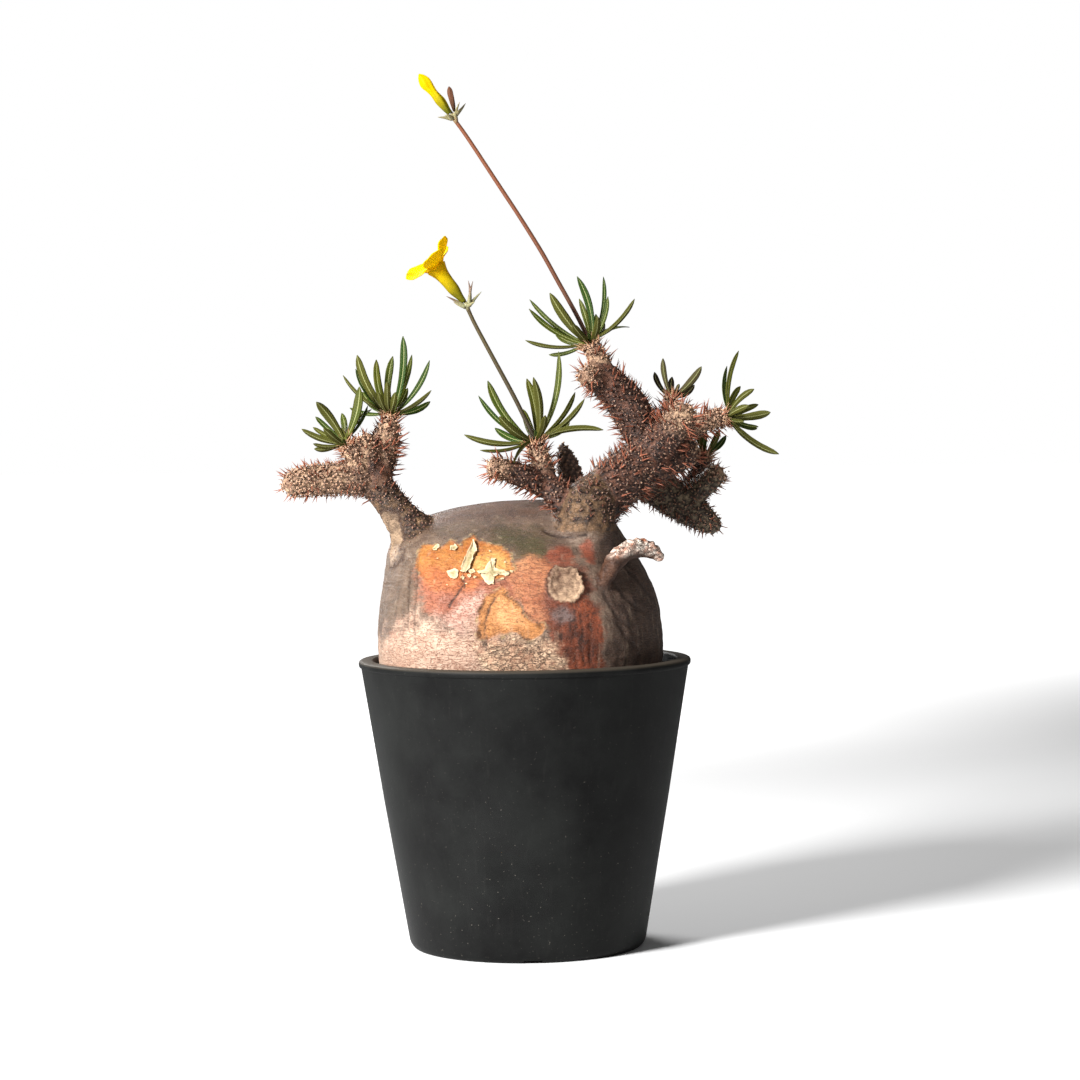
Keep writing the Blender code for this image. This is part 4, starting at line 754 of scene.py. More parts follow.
    tree = KDTree(len(areoles))
    for i, (seat, *_) in enumerate(areoles):
        tree.insert(seat, i)
    tree.balance()
    from_areole = np.array([tree.find(Vector(p))[2] for p in points])
    wart = np.exp(-((from_areole / 0.85) ** 2)) * limb
    scales = ease(1 - scaly, 0, 1)
    rise += wart * (0.7 - 0.35 * root + 0.5 * scales)
    rise += limb * (0.32 * grain(points, 2.2, 5) + 0.4 * coarse - 0.55 + 0.3 * pale * grain(points, 1.3, 8))
    attribute(mesh, "wart", wart)
    attribute(mesh, "crack", crack)
    attribute(mesh, "pale", pale * limb)
    attribute(mesh, "root", root)
    attribute(mesh, "scales", scales)
    attribute(mesh, "olive", olive)

    moved = (points + outward * rise[:, None] + sideways) * MM
    mesh.vertices.foreach_set("co", moved.astype(np.float32).ravel())
    mesh.update()


def bristle_tree(name, material):
    """Geometry Nodes that stand a small shape on each point, turned to its aim, scaled to its size and rolled."""
    tree = bpy.data.node_groups.new(name, "GeometryNodeTree")
    for label, kind in (("Points", "Geometry"), ("Shape", "Object"), ("Length", "Float"), ("Thickness", "Float")):
        tree.interface.new_socket(label, in_out="INPUT", socket_type="NodeSocket" + kind)
    tree.interface.new_socket("Bristles", in_out="OUTPUT", socket_type="NodeSocketGeometry")
    inlet = add(tree, "NodeGroupInput")
    aim = add(tree, "GeometryNodeInputNamedAttribute", {"data_type": "FLOAT_VECTOR"}, {"Name": "aim"})
    size = add(tree, "GeometryNodeInputNamedAttribute", {"data_type": "FLOAT"}, {"Name": "size"})
    roll = add(tree, "FunctionNodeRandomValue", {"data_type": "FLOAT"}, {"Min": 0.0, "Max": 2 * math.pi, "Seed": SEED})
    raised = add(tree, "FunctionNodeAlignRotationToVector", {"axis": "Z"}, {"Vector": aim})
    spin = add(tree, "FunctionNodeAxisAngleToRotation", links={"Axis": (0, 0, 1), "Angle": roll})
    turn = add(tree, "FunctionNodeRotateRotation", {"rotation_space": "LOCAL"}, {"Rotation": raised, "Rotate By": spin})
    length = add(tree, "ShaderNodeMath", {"operation": "MULTIPLY"}, {0: size, 1: inlet.outputs["Length"]})
    thick = add(tree, "ShaderNodeMath", {"operation": "MULTIPLY"}, {0: size, 1: inlet.outputs["Thickness"]})
    scale = add(tree, "ShaderNodeCombineXYZ", links={"X": thick, "Y": thick, "Z": length})
    shape = add(tree, "GeometryNodeObjectInfo", links={"Object": inlet.outputs["Shape"]})
    copies = add(tree, "GeometryNodeInstanceOnPoints", links={
        "Points": inlet.outputs["Points"], "Instance": shape.outputs["Geometry"], "Rotation": turn, "Scale": scale})
    solid = add(tree, "GeometryNodeRealizeInstances", links={"Geometry": copies})
    finished = add(tree, "GeometryNodeSetMaterial", links={"Geometry": solid, "Material": material})
    add(tree, "NodeGroupOutput", links={"Bristles": finished})
    return tree


def grow(obj, tree, **values):
    """Runs a node tree on an object with its named inputs set, and keeps the result as a plain mesh."""
    modifier = obj.modifiers.new("grow", "NODES")
    modifier.node_group = tree
    for item in tree.interface.items_tree:
        if item.item_type == "SOCKET" and item.in_out == "INPUT" and item.name in values:
            modifier[item.identifier] = values[item.name]
    return baked(obj)


def bristles(name, material, shape, rows, length, thickness):
    """One piece of many small shapes, from rows of (place in mm, aim, size, tone)."""
    mesh = bpy.data.meshes.new(name)
    mesh.from_pydata([Vector(r[0]) * MM for r in rows], [], [])
    attribute(mesh, "aim", [r[1] for r in rows], "FLOAT_VECTOR")
    attribute(mesh, "size", [r[2] for r in rows])
    attribute(mesh, "tone", [r[3] for r in rows])
    obj = bpy.data.objects.new(name, mesh)
    bpy.context.scene.collection.objects.link(obj)
    grow(obj, bristle_tree(name, material), Shape=shape, Length=length, Thickness=thickness)
    bpy.data.objects.remove(shape, do_unlink=True)
    obj.data.shade_smooth()
    return obj


def spine_shape():
    """A slender spine one unit long on +Z, four-sided and a little curved, with its run stored from root to tip."""
    bm = bmesh.new()
    along = bm.verts.layers.float.new("along")
    rings = []
    for t, radius in ((-0.12, 0.5), (0.12, 0.42), (0.45, 0.28), (0.78, 0.14)):
        ring = [bm.verts.new((radius * math.cos(a) + 0.9 * t * t, radius * math.sin(a), t)) for a in np.radians([0, 90, 180, 270])]
        for vert in ring:
            vert[along] = max(t, 0)
        rings.append(ring)
    tip = bm.verts.new((0.9, 0, 1))
    tip[along] = 1
    for a, b in zip(rings, rings[1:]):
        for k in range(4):
            bm.faces.new((a[k], a[(k + 1) % 4], b[(k + 1) % 4], b[k]))
    for k in range(4):
        bm.faces.new((rings[-1][k], rings[-1][(k + 1) % 4], tip))
    bm.faces.new(list(reversed(rings[0])))
    return mesh_object("spine_shape", bm)


def cushion_shape():
    """A low round cushion of felt, one unit across."""
    bm = bmesh.new()
    bmesh.ops.create_icosphere(bm, subdivisions=1, radius=0.5)
    along = bm.verts.layers.float.new("along")
    for vert in bm.verts:
        vert[along] = vert.co.z + 0.5
    return mesh_object("cushion_shape", bm)


def spine_rows(areoles, rng):
    """Each cushion's spines, most of them in pairs that spread sideways and lean to the limb's tip."""
    spines, cushions = [], []
    for seat, out, ahead, to_tip, name in areoles:
        young = max(0.0, 1 - to_tip / PALE_RUN.get(name, 9))
        old = min(1.0, max(0.0, (to_tip - 66) / 18))
        tone = min(1, 0.12 + 0.5 * young + 0.6 * rng.random() - 0.2 * old)
        raised = Vector(seat) + out * (0.45 - 0.2 * old)
        cushions.append((raised, out, rng.uniform(0.4, 0.85) * (1 + 0.5 * young - 0.2 * old), tone))
        if name == SCALY_LIMB or (name == "west_stem" and seat.z < 201):
            continue
        side = ahead.cross(out).normalized()
        bold = rng.random() < 0.24 + 0.16 * young - 0.12 * old
        for sign in (-1, 1):
            if rng.random() < (0.15 if bold else 0.5 + 0.2 * old):
                continue
            lean = 0.15 + 0.5 * rng.random()
            aim = out + side * sign * rng.uniform(0.15, 0.5) + ahead * lean + Vector(rng.normal(0, 0.1, 3))
            size = rng.uniform(0.8, 1.15) if bold else rng.uniform(0.34, 0.68)
            size *= 0.95 + 0.15 * young - 0.25 * old
            shade = min(1, tone + 0.35) if bold else 0.6 * tone
            spines.append((raised - out * 0.3, aim.normalized(), size * SPINE_SHARE.get(name, 1), shade))
        for _ in range(1 + round(2 * young)):
            aside = Vector(rng.normal(0, 0.75 + 0.3 * young, 3))
            aside -= out * aside.dot(out)
            grains = rng.uniform(0.3, 0.6) * (1 + 0.5 * young)
            cushions.append((raised - out * 0.15 + aside, out, grains, min(1, tone + rng.uniform(-0.3, 0.3))))
    return spines, cushions


def front_seat(tree, x, z):
    """Where a level line from the front meets the skin, and the way out of the skin there."""
    seat, normal, _, _ = tree.ray_cast(mm(x, -120, z), Vector((0, 1, 0)))
    return seat / MM, normal


def make_flakes(skin, material):
    """Loose flakes of dry bark that follow the skin, with their edges lifted and curled."""
    tree = BVHTree.FromObject(skin, bpy.context.evaluated_depsgraph_get())
    bm = bmesh.new()
    tone = bm.verts.layers.float.new("tone")
    crumbs = [(0.3, 0, [(x + size * math.sin(a * 1.3 + x), z + size * math.cos(a * 1.3 + x) * (0.4 + 0.5 * (a % 2))) for a in range(5)])
              for x, z, size in CRUMBS]
    for k, (lift, curl, outline) in enumerate([*FLAKES.values(), *crumbs]):
        edge = []
        ring = outline + outline[:1]
        for (x0, z0), (x1, z1) in zip(ring, ring[1:]):
            for t in (0, 0.25, 0.5, 0.75):
                edge.append((x0 + (x1 - x0) * t, z0 + (z1 - z0) * t))
        centre = np.mean(outline, axis=0)
        for p_scale, amount in ((1.3, 0.7), (4.1, 0.5)) if lift > 0.3 else ():
            edge = [np.array(p) + amount * np.array([noise.noise(Vector((*p, k + z)) * p_scale) for z in (0, 9)])
                    for p in edge]
        rings = []
        for share in (0.12, 0.4, 0.65, 0.85, 1):
            ring = []
            for i, p in enumerate(edge):
                spot = centre + (p - centre) * share
                seat, normal = front_seat(tree, *spot)
                wave = 0.6 + 0.6 * noise.noise(Vector((i * 0.35, share, k * 3.1)))
                vert = bm.verts.new((seat + normal * (0.35 + lift * share**3 * wave)) * MM)
                if share > 0.8:
                    seat_in, _ = front_seat(tree, *(centre + (p - centre) * 0.7))
                    vert.co = vert.co.lerp((seat_in + normal * (0.35 + lift * 1.2 * wave)) * MM, curl * 0.6 * (share - 0.65) / 0.35)
                vert[tone] = share
                ring.append(vert)
            rings.append(ring)
        for a, b in zip(rings, rings[1:]):
            for i in range(len(a)):
                j = (i + 1) % len(a)
                bm.faces.new((a[i], a[j], b[j], b[i]))
        bm.faces.new(rings[0])
    flakes = mesh_object("bark_flakes", bm)
    solid = flakes.modifiers.new("thickness", "SOLIDIFY")
    solid.thickness = 0.22 * MM
    solid.offset = 0
    baked(flakes)
    place(flakes, "bark", material)
    return flakes


def leaf_way(angle, depth):
    """The direction of a leaf from its angle in the XZ plane and its angle away from the viewer."""
    a, b = math.radians(angle), math.radians(depth)
    return Vector((math.cos(a) * math.cos(b), math.sin(b), math.sin(a) * math.cos(b)))


def tip_frame(limb):
    """The tip of a limb that its crown sits on, and the way that it points, in millimetres."""
    path = smooth_path(LIMBS[limb], 2)
    end, before = Vector(path[-1][:3]), Vector(path[-2][:3])
    axis = (end - before).normalized()
    return end + axis * path[-1][3] * math.sin(math.radians(76)), axis


def add_leaf(bm, start, middle, end, across, width, thickness, layers, tone, twist=0.0):
    """One closed blade along a curve: folded at a sunken midrib, keeled below, with thin margins."""
    columns = [2 * k / LEAF_COLUMNS - 1 for k in range(LEAF_COLUMNS + 1)]
    outline = np.array(LEAF_OUTLINE)
    rings = []
    for i in range(LEAF_STATIONS):
        t = i / (LEAF_STATIONS - 1)
        spot = start * (1 - t) ** 2 + middle * 2 * t * (1 - t) + end * t**2
        ahead = ((middle - start) * (1 - t) + (end - middle) * t).normalized()
        half = width / 2 * float(np.interp(t, outline[:, 0], outline[:, 1]))
        turned_side = Matrix.Rotation(twist * t, 3, ahead) @ across
        up = turned_side.cross(ahead).normalized()
        half *= 1 + 0.05 * math.sin(9 * t + 12 * tone)
        body = thickness * (1 - 0.55 * t)
        ring = []
        for face, shares in ((1, columns), (-1, columns[-2:0:-1])):
            for s in shares:
                rise = LEAF_FOLD * half * abs(s) - 0.1 * half * s**4
                rib = math.exp(-((s / 0.3) ** 2))
                thick = body * 0.5 * (1 - 0.6 * s * s) if abs(s) < 1 else 0
                rise += thick - 0.16 * rib if face > 0 else -thick - 0.3 * rib * (1 - 0.5 * t)
                vert = bm.verts.new((spot + turned_side * half * s + up * rise) * MM)
                for layer, value in zip(layers, (t, s, 0.5 if abs(s) == 1 else 0.5 - face * 0.5, tone)):
                    vert[layer] = value
                ring.append(vert)
        rings.append(ring)
    for a, b in zip(rings, rings[1:]):
        for k in range(len(a)):
            j = (k + 1) % len(a)
            bm.faces.new((a[k], a[j], b[j], b[k]))
    bm.faces.new(list(reversed(rings[0])))
    bm.faces.new(rings[-1])


def make_rosette(name, material, rng):
    """All the leaves of one crown, with the small young ones that stand in its middle."""
    limb, radius, leaves = ROSETTES[name]
    tip, axis = tip_frame(limb)
    bm = bmesh.new()
    layers = [bm.verts.layers.float.new(label) for label in ("along", "across", "under", "tone")]
    for angle, depth, length, width in leaves:
        way = leaf_way(angle, depth)
        flat = way - axis * way.dot(axis)
        start = tip + axis * LEAF_ROOT_RISE + flat.normalized() * radius * LEAF_ROOT_SHARE
        end = tip + way * length
        middle = (start + end) / 2 + flat.cross(way).cross(way).normalized() * -LEAF_ARCH * 2 * length
        across = way.cross(axis + Vector((0, -LEAF_TURN if depth >= 0 else LEAF_TURN, 0))).normalized()
        back = start - (middle - start).normalized() * 1.2
        add_leaf(bm, back, middle, end, across, width * LEAF_WIDTH_SHARE, LEAF_THICKNESS, layers, rng.random(), rng.uniform(-0.35, 0.35))
    side = axis.orthogonal().normalized()
    for k in range(9):
        turn = k * GOLDEN_ANGLE
        out = side * math.cos(turn) + axis.cross(side) * math.sin(turn)
        start = tip + out * radius * (0.2 + 0.06 * k) - axis * 0.6
        length = 3.2 + 0.5 * k
        end = start + (axis + out * (0.12 + 0.07 * k)).normalized() * length
        middle = (start + end) / 2 + out * 0.4
        add_leaf(bm, start, middle, end, axis.cross(out).normalized(), 1.1 + 0.08 * k, 0.4, layers, rng.random())
    leaves_piece = mesh_object(name, bm)
    place(leaves_piece, "leaf", material, name)
    return leaves_piece


def crown_rows(rng):
    """Spines and wool tufts that crowd round the foot of each rosette."""
    spines, tufts = [], []
    for limb, radius, _ in ROSETTES.values():
        tip, axis = tip_frame(limb)
        side = axis.orthogonal().normalized()
        for k in range(46):
            turn = k * GOLDEN_ANGLE
            out = side * math.cos(turn) + axis.cross(side) * math.sin(turn)
            share = math.sqrt((k + 0.5) / 46)
            spot = tip + out * (radius + 1.3) * share + axis * (1.3 - 2.3 * share**2)
            tufts.append((spot, (axis + out * share).normalized(), rng.uniform(0.9, 1.5), rng.uniform(0.75, 1)))
            if share > 0.45:
                aim = axis * 0.75 + out * rng.uniform(0.5, 1.3) + Vector(rng.normal(0, 0.2, 3))
                spines.append((spot, aim.normalized(), rng.uniform(0.6, 1.05), rng.uniform(1, 1.7)))
    return spines, tufts


def make_stalk(name, material):
    """A stalk with its head, the sepals round it and, on the tall one, the side stalk."""
    path = STALKS[name]
    bm = bmesh.new()
    bm.from_mesh(tube_mesh(rounded_path(path, 10), 14))
    if name == "stalk_tall":
        bm.from_mesh(tube_mesh(rounded_path(SIDE_STALK, 5), 10))
    foot, head = Vector(path[0][:3]), Vector(path[-1][:3])
    ahead = (head - Vector(path[-2][:3])).normalized()
    for k, (angle, depth, length) in enumerate(SEPALS[name]):
        way = leaf_way(angle, depth)
        flat = (way - ahead * way.dot(ahead)).normalized()
        root = head + flat * path[-1][3] * 0.6 - ahead * 0.5
        end = root + way * length
        bend = flat * 0.07 * length * (1 if k % 2 else -0.6)
        line = [(*(root.lerp(end, t) + bend * math.sin(math.pi * t)), max(0.05, 1.05 * (1 - t) ** 0.7)) for t in (0, 0.3, 0.6, 0.85, 1)]
        bm.from_mesh(tube_mesh(smooth_path(line, 3), 8))
    bmesh.ops.remove_doubles(bm, verts=bm.verts, dist=0.01 * MM)
    stalk = mesh_object(name, bm)
    points = read_vectors(stalk.data.vertices, "co") / MM
    run = (head - foot).length
    attribute(stalk.data, "along", np.clip((points - foot) @ np.array((head - foot) / run) / run, 0, 1.1))
    place(stalk, "stalk", material, name)
    return stalk


def seat_on(points, way):
    """Where a corolla that points a given way sits on a stalk's head, in millimetres."""
    return Vector(points[-1][:3]) + Vector(way).normalized() * (points[-1][3] + 0.35)


def make_flower(material):
    """The open corolla: a hollow tube that widens to a throat, and five broad thin lobes that turn out from it."""
    axis = Vector(FLOWER_AXIS).normalized()
    foot = seat_on(STALKS["stalk_short"], axis)
    turn = axis.to_track_quat("Z", "Y").to_matrix().to_4x4()
    where = Matrix.Translation(foot * MM) @ turn
    rows = smooth_path(FLOWER_TUBE, 5)
    outer = [(r, z) for z, r in rows[::-1]]
    inner = [(r - 0.45, z) for z, r in rows[10:]]
    tube = turned("corolla_tube", [(0, inner[0][1])] + inner + outer + [(0, 0)], 40)
    tube.data.transform(where)
    bm = bmesh.new()
    upper = Vector(FLOWER_UPPER_SIDE)
    side = (upper - axis * axis.dot(upper)).normalized()
    other = axis.cross(side)
    throat = where @ mm(0, 0, FLOWER_TUBE[-1][0] - THROAT_DEPTH) / MM
    outline = np.array(PETAL_OUTLINE)
    for i, (spread, roll) in enumerate(PETALS):
        a = math.radians(PETAL_TURN + 360 * i / len(PETALS))
        out = side * math.cos(a) + other * math.sin(a)
        flat = axis.cross(out).normalized()
        grid = []
        for t in np.linspace(-0.06, 1, 15):
            bend = math.radians(spread) * min(1, 0.25 + t * 1.5)
            ahead = (axis * math.cos(bend) + out * math.sin(bend)).normalized()
            rolled = Matrix.Rotation(math.radians(roll) * t, 3, ahead)
            across = rolled @ flat
            up = rolled @ (axis * math.sin(bend) - out * math.cos(bend)).normalized()
            middle = throat + ahead * PETAL_LENGTH * t + out * PETAL_ROOT_OUT + across * PETAL_WIDTH * PETAL_SKEW * t
            half = PETAL_WIDTH / 2 * float(np.interp(t, outline[:, 0], outline[:, 1]))
            row = []
            for s in np.linspace(-1, 1, 11):
                ruffle = 0.35 * t * s * s * noise.noise(Vector((t * 3, s * 2.4, i * 5.3)))
                lip = -0.5 * t * t * max(0, s) ** 3
                tip_round = -1.1 * t**8 * s * s
                row.append(bm.verts.new((middle + across * half * s + ahead * tip_round + up * (half * PETAL_CUP * s * s + ruffle + lip)) * MM))
            grid.append(row)
        for a_row, b_row in zip(grid, grid[1:]):
            for k in range(10):
                bm.faces.new((a_row[k], a_row[k + 1], b_row[k + 1], b_row[k]))
    lobes = mesh_object("corolla_lobes", bm)
    solid = lobes.modifiers.new("thickness", "SOLIDIFY")
    solid.thickness = 0.4 * MM
    solid.offset = 0
    baked(lobes)
    bm = bmesh.new()
    bm.from_mesh(tube.data)
    bm.from_mesh(lobes.data)
    for used in (tube, lobes):
        bpy.data.objects.remove(used, do_unlink=True)
    flower = mesh_object("flower_open", bm)
    points = read_vectors(flower.data.vertices, "co") / MM
    along = np.clip(((points - foot) @ np.array(axis)) / 30, 0, 1)
    facing = read_vectors(flower.data.vertex_normals, "vector") @ np.array(axis)
    attribute(flower.data, "along", along)
    # The lobes' inner faces take a lighter yellow than the outer ones: partly the corolla's own two tones, partly
    # painted light inside and painted shade outside.
    attribute(flower.data, "inner", ease(facing, 0.1, 0.4) * (along > 0.55))
    place(flower, "petal", material, "flower_open")
    return flower


def make_bud(name, stalk_points, slot, material):
    """A closed corolla: a spindle whose furrows wind about it."""
    way, length, profile = BUDS[name]
    axis = Vector(way).normalized()
    rows = smooth_path([(t * 10, r) for t, r in profile], 5)
    bm = bmesh.new()
    rings = []
    for t, radius in rows:
        share = t / 10
        ring = []
        for k in range(40):
            angle = 2 * math.pi * k / 40
            furrow = 1 + 0.07 * math.cos(BUD_FURROWS * angle) + 0.04 * abs(math.cos(BUD_FURROWS * angle / 2))
            wound = angle + math.radians(BUD_TWIST) * share
            ring.append(bm.verts.new(mm(radius * furrow * math.cos(wound), radius * furrow * math.sin(wound), share * length)))
        rings.append(ring)
    for a, b in zip(rings, rings[1:]):
        for k in range(40):
            bm.faces.new((a[k], a[(k + 1) % 40], b[(k + 1) % 40], b[k]))
    bm.faces.new(list(reversed(rings[0])))
    bm.faces.new(rings[-1])
    foot = seat_on(stalk_points, axis)
    turn = axis.to_track_quat("Z", "Y").to_matrix().to_4x4()
    bmesh.ops.transform(bm, matrix=Matrix.Translation(foot * MM) @ turn, verts=bm.verts)
    bud = mesh_object(name, bm)
    points = read_vectors(bud.data.vertices, "co") / MM
    attribute(bud.data, "along", np.clip(((points - foot) @ np.array(axis)) / length, 0, 1))
    place(bud, slot, material, name)
    return bud


def make_pot(material):
    """The tub with its rolled rim, foot ring, drain holes and notches."""
    slope = (RIM_RADIUS - FOOT_RADIUS) / POT_HEIGHT
    band = POT_HEIGHT - RIM_BAND
    ring_inner = FOOT_RADIUS - FOOT_RING_WIDTH
    inner_rim = RIM_RADIUS - RIM_WIDTH
    profile = [
        (0, FLOOR_TOP), (FOOT_RADIUS - 9, FLOOR_TOP), (FOOT_RADIUS - 7.4, FLOOR_TOP + 0.8),
        (FOOT_RADIUS - 6.6, FLOOR_TOP + 2.6), (inner_rim - 0.2, POT_HEIGHT - 1.6), (inner_rim + 0.1, POT_HEIGHT - 0.6),
        (inner_rim + 0.8, POT_HEIGHT - 0.05), (inner_rim + 1.6, POT_HEIGHT), (RIM_RADIUS - 1.6, POT_HEIGHT),
        (RIM_RADIUS - 0.9, POT_HEIGHT - 0.12), (RIM_RADIUS - 0.3, POT_HEIGHT - 0.5), (RIM_RADIUS, POT_HEIGHT - 1.3),
        (RIM_RADIUS - 0.1, band + 0.7), (RIM_RADIUS - 0.35, band + 0.2), (FOOT_RADIUS + slope * band - RIM_PROUD + 0.2, band),
        (FOOT_RADIUS + slope * band - RIM_PROUD, band - 0.5), (FOOT_RADIUS + slope * 66, 66),
        (FOOT_RADIUS + slope * 3.4, 3.4), (FOOT_RADIUS + 0.1, 2), (FOOT_RADIUS - 0.5, 1.1), (FOOT_RADIUS - 1.1, 0.4),
        (FOOT_RADIUS - 2, 0), (ring_inner, 0), (ring_inner - 0.8, FOOT_RECESS), (CENTRE_PAD_RADIUS + 0.8, FOOT_RECESS),
        (CENTRE_PAD_RADIUS, 0), (0, 0),
    ]
    pot = turned("pot", profile, POT_SEGMENTS)
    cutters = bpy.data.collections.new("cutters")
    bpy.context.scene.collection.children.link(cutters)
    bm = bmesh.new()
    for i in range(DRAIN_HOLES):
        turn = 2 * math.pi * (i + 0.5) / DRAIN_HOLES
        where = Matrix.Translation(mm(DRAIN_CIRCLE * math.cos(turn), DRAIN_CIRCLE * math.sin(turn), FLOOR_TOP / 2))
        bmesh.ops.create_cone(bm, cap_ends=True, segments=32, radius1=DRAIN_RADIUS * MM, radius2=DRAIN_RADIUS * MM,
                              depth=12 * MM, matrix=where)
    for i in range(FOOT_NOTCHES):
        size = Matrix.Diagonal((FOOT_RING_WIDTH * 3 * MM, NOTCH_WIDTH * MM, FOOT_RECESS * 1.5 * MM, 1))
        turn = Matrix.Rotation(2 * math.pi * (i - 0.97) / FOOT_NOTCHES, 4, "Z")
        where = Matrix.Translation(mm(FOOT_RADIUS - FOOT_RING_WIDTH / 2, 0, 0))
        bmesh.ops.create_cube(bm, size=1, matrix=turn @ where @ size)
    cutter = mesh_object("holes", bm)
    cut = pot.modifiers.new("holes", "BOOLEAN")
    cut.operation = "DIFFERENCE"
    cut.solver = "EXACT"
    cut.object = cutter
    baked(pot)
    bpy.data.objects.remove(cutter, do_unlink=True)
    bpy.data.collections.remove(cutters)
    pot.data.shade_smooth()
    pot.data.set_sharp_from_angle(angle=math.radians(28))
    place(pot, "pot_plastic", material, "pot")
    return pot


def grit_tree(name, material):
    """Geometry Nodes that lay grains over the soil, without two in one place, each turned, sized and tinted."""
    tree = bpy.data.node_groups.new(name, "GeometryNodeTree")
    for label, kind in (("Bed", "Geometry"), ("Grains", "Collection"), ("Spacing", "Float"), ("Grain size", "Float")):
        tree.interface.new_socket(label, in_out="INPUT", socket_type="NodeSocket" + kind)
    tree.interface.new_socket("Grit", in_out="OUTPUT", socket_type="NodeSocketGeometry")
    inlet = add(tree, "NodeGroupInput")
    upward = add(tree, "ShaderNodeSeparateXYZ", links={"Vector": add(tree, "GeometryNodeInputNormal")})
    top = add(tree, "FunctionNodeCompare", {"data_type": "FLOAT", "operation": "GREATER_THAN"},
              {"A": upward.outputs["Z"], "B": 0.5})
    spots = add(tree, "GeometryNodeDistributePointsOnFaces", {"distribute_method": "POISSON"}, {
        "Mesh": inlet.outputs["Bed"], "Selection": top, "Distance Min": inlet.outputs["Spacing"],
        "Density Max": 300000.0, "Seed": SEED})
    kinds = add(tree, "GeometryNodeCollectionInfo", links={
        "Collection": inlet.outputs["Grains"], "Separate Children": True, "Reset Children": True})
    turn = add(tree, "FunctionNodeRandomValue", {"data_type": "FLOAT_VECTOR"}, {
        "Min": (0, 0, 0), "Max": (6.28, 6.28, 6.28), "Seed": SEED + 1})
    spin = add(tree, "FunctionNodeEulerToRotation", links={"Euler": turn})
    share = add(tree, "FunctionNodeRandomValue", {"data_type": "FLOAT"}, {"Min": 0.5, "Max": 1.25, "Seed": SEED + 2})
    size = add(tree, "ShaderNodeMath", {"operation": "MULTIPLY"}, {0: share, 1: inlet.outputs["Grain size"]})
    copies = add(tree, "GeometryNodeInstanceOnPoints", links={
        "Points": spots.outputs["Points"], "Instance": kinds, "Pick Instance": True, "Rotation": spin, "Scale": size})
    tint = add(tree, "FunctionNodeRandomValue", {"data_type": "FLOAT"}, {"Min": 0.0, "Max": 1.0, "Seed": SEED + 3})
    tinted = add(tree, "GeometryNodeStoreNamedAttribute", {"data_type": "FLOAT", "domain": "INSTANCE"}, {
        "Geometry": copies, "Name": "tint", "Value": tint})
    solid = add(tree, "GeometryNodeRealizeInstances", links={"Geometry": tinted})
    finished = add(tree, "GeometryNodeSetMaterial", links={"Geometry": solid, "Material": material})
    add(tree, "NodeGroupOutput", links={"Grit": finished})
    return tree


def make_soil(bed_material, grit_material):
    """The fill below, a rough bed on top of it, and the loose mineral grains that lie on the bed."""
    inner_foot, inner_rim = FOOT_RADIUS - 7.7, RIM_RADIUS - RIM_WIDTH - 1.1
    at_level = inner_foot + (inner_rim - inner_foot) * (SOIL_LEVEL - FLOOR_TOP) / (POT_HEIGHT - FLOOR_TOP)
    rings = np.linspace(0, at_level - 0.6, 40)
    profile = [(r, SOIL_LEVEL) for r in rings] + [(at_level, SOIL_LEVEL - 2), (inner_foot, 9.5), (inner_foot - 2.6, 5.6), (0, 5.6)]
    bed = turned("soil_bed", profile, 128)
    points = read_vectors(bed.data.vertices, "co") / MM
    on_top = points[:, 2] > SOIL_LEVEL - 1
    points[:, 2] += np.where(on_top, 0.8 * grain(points, 3, 50) + 0.4 * grain(points, 1.4, 51) - 1, 0)
    bed.data.vertices.foreach_set("co", (points * MM).astype(np.float32).ravel())
    bed.data.update()
    kinds = bpy.data.collections.new("grain_kinds")
    shapes = []
    for k in range(5):
        bm = bmesh.new()
        bmesh.ops.create_icosphere(bm, subdivisions=2, radius=0.5)
        for vert in bm.verts:
            vert.co *= 1 + 0.45 * noise.noise(vert.co * 2.6 + Vector((k * 7.7, 0, 0)))
            vert.co.z *= 0.7
        shape = mesh_object(f"grain_{k}", bm)
        bpy.context.scene.collection.objects.unlink(shape)
        kinds.objects.link(shape)
        shapes.append(shape)
    grit = bpy.data.objects.new("soil_grit", bed.data.copy())
    bpy.context.scene.collection.objects.link(grit)
    ring = bmesh.new()
    ring.from_mesh(grit.data)
    buried = [f for f in ring.faces if f.calc_center_median().xy.length < 54 * MM or f.calc_center_median().z < (SOIL_LEVEL - 2.4) * MM]
    bmesh.ops.delete(ring, geom=buried, context="FACES")
    ring.to_mesh(grit.data)
    ring.free()
    grow(grit, grit_tree("grit", grit_material), Grains=kinds, Spacing=1.5 * MM, **{"Grain size": 3.1 * MM})
    for shape in shapes:
        bpy.data.objects.remove(shape, do_unlink=True)
    bpy.data.collections.remove(kinds)
    grit.data.shade_smooth()
    bed.data.shade_smooth()
    place(bed, "soil_mix", bed_material, "soil")
    place(grit, "soil_mix", grit_material)
    return bed, grit


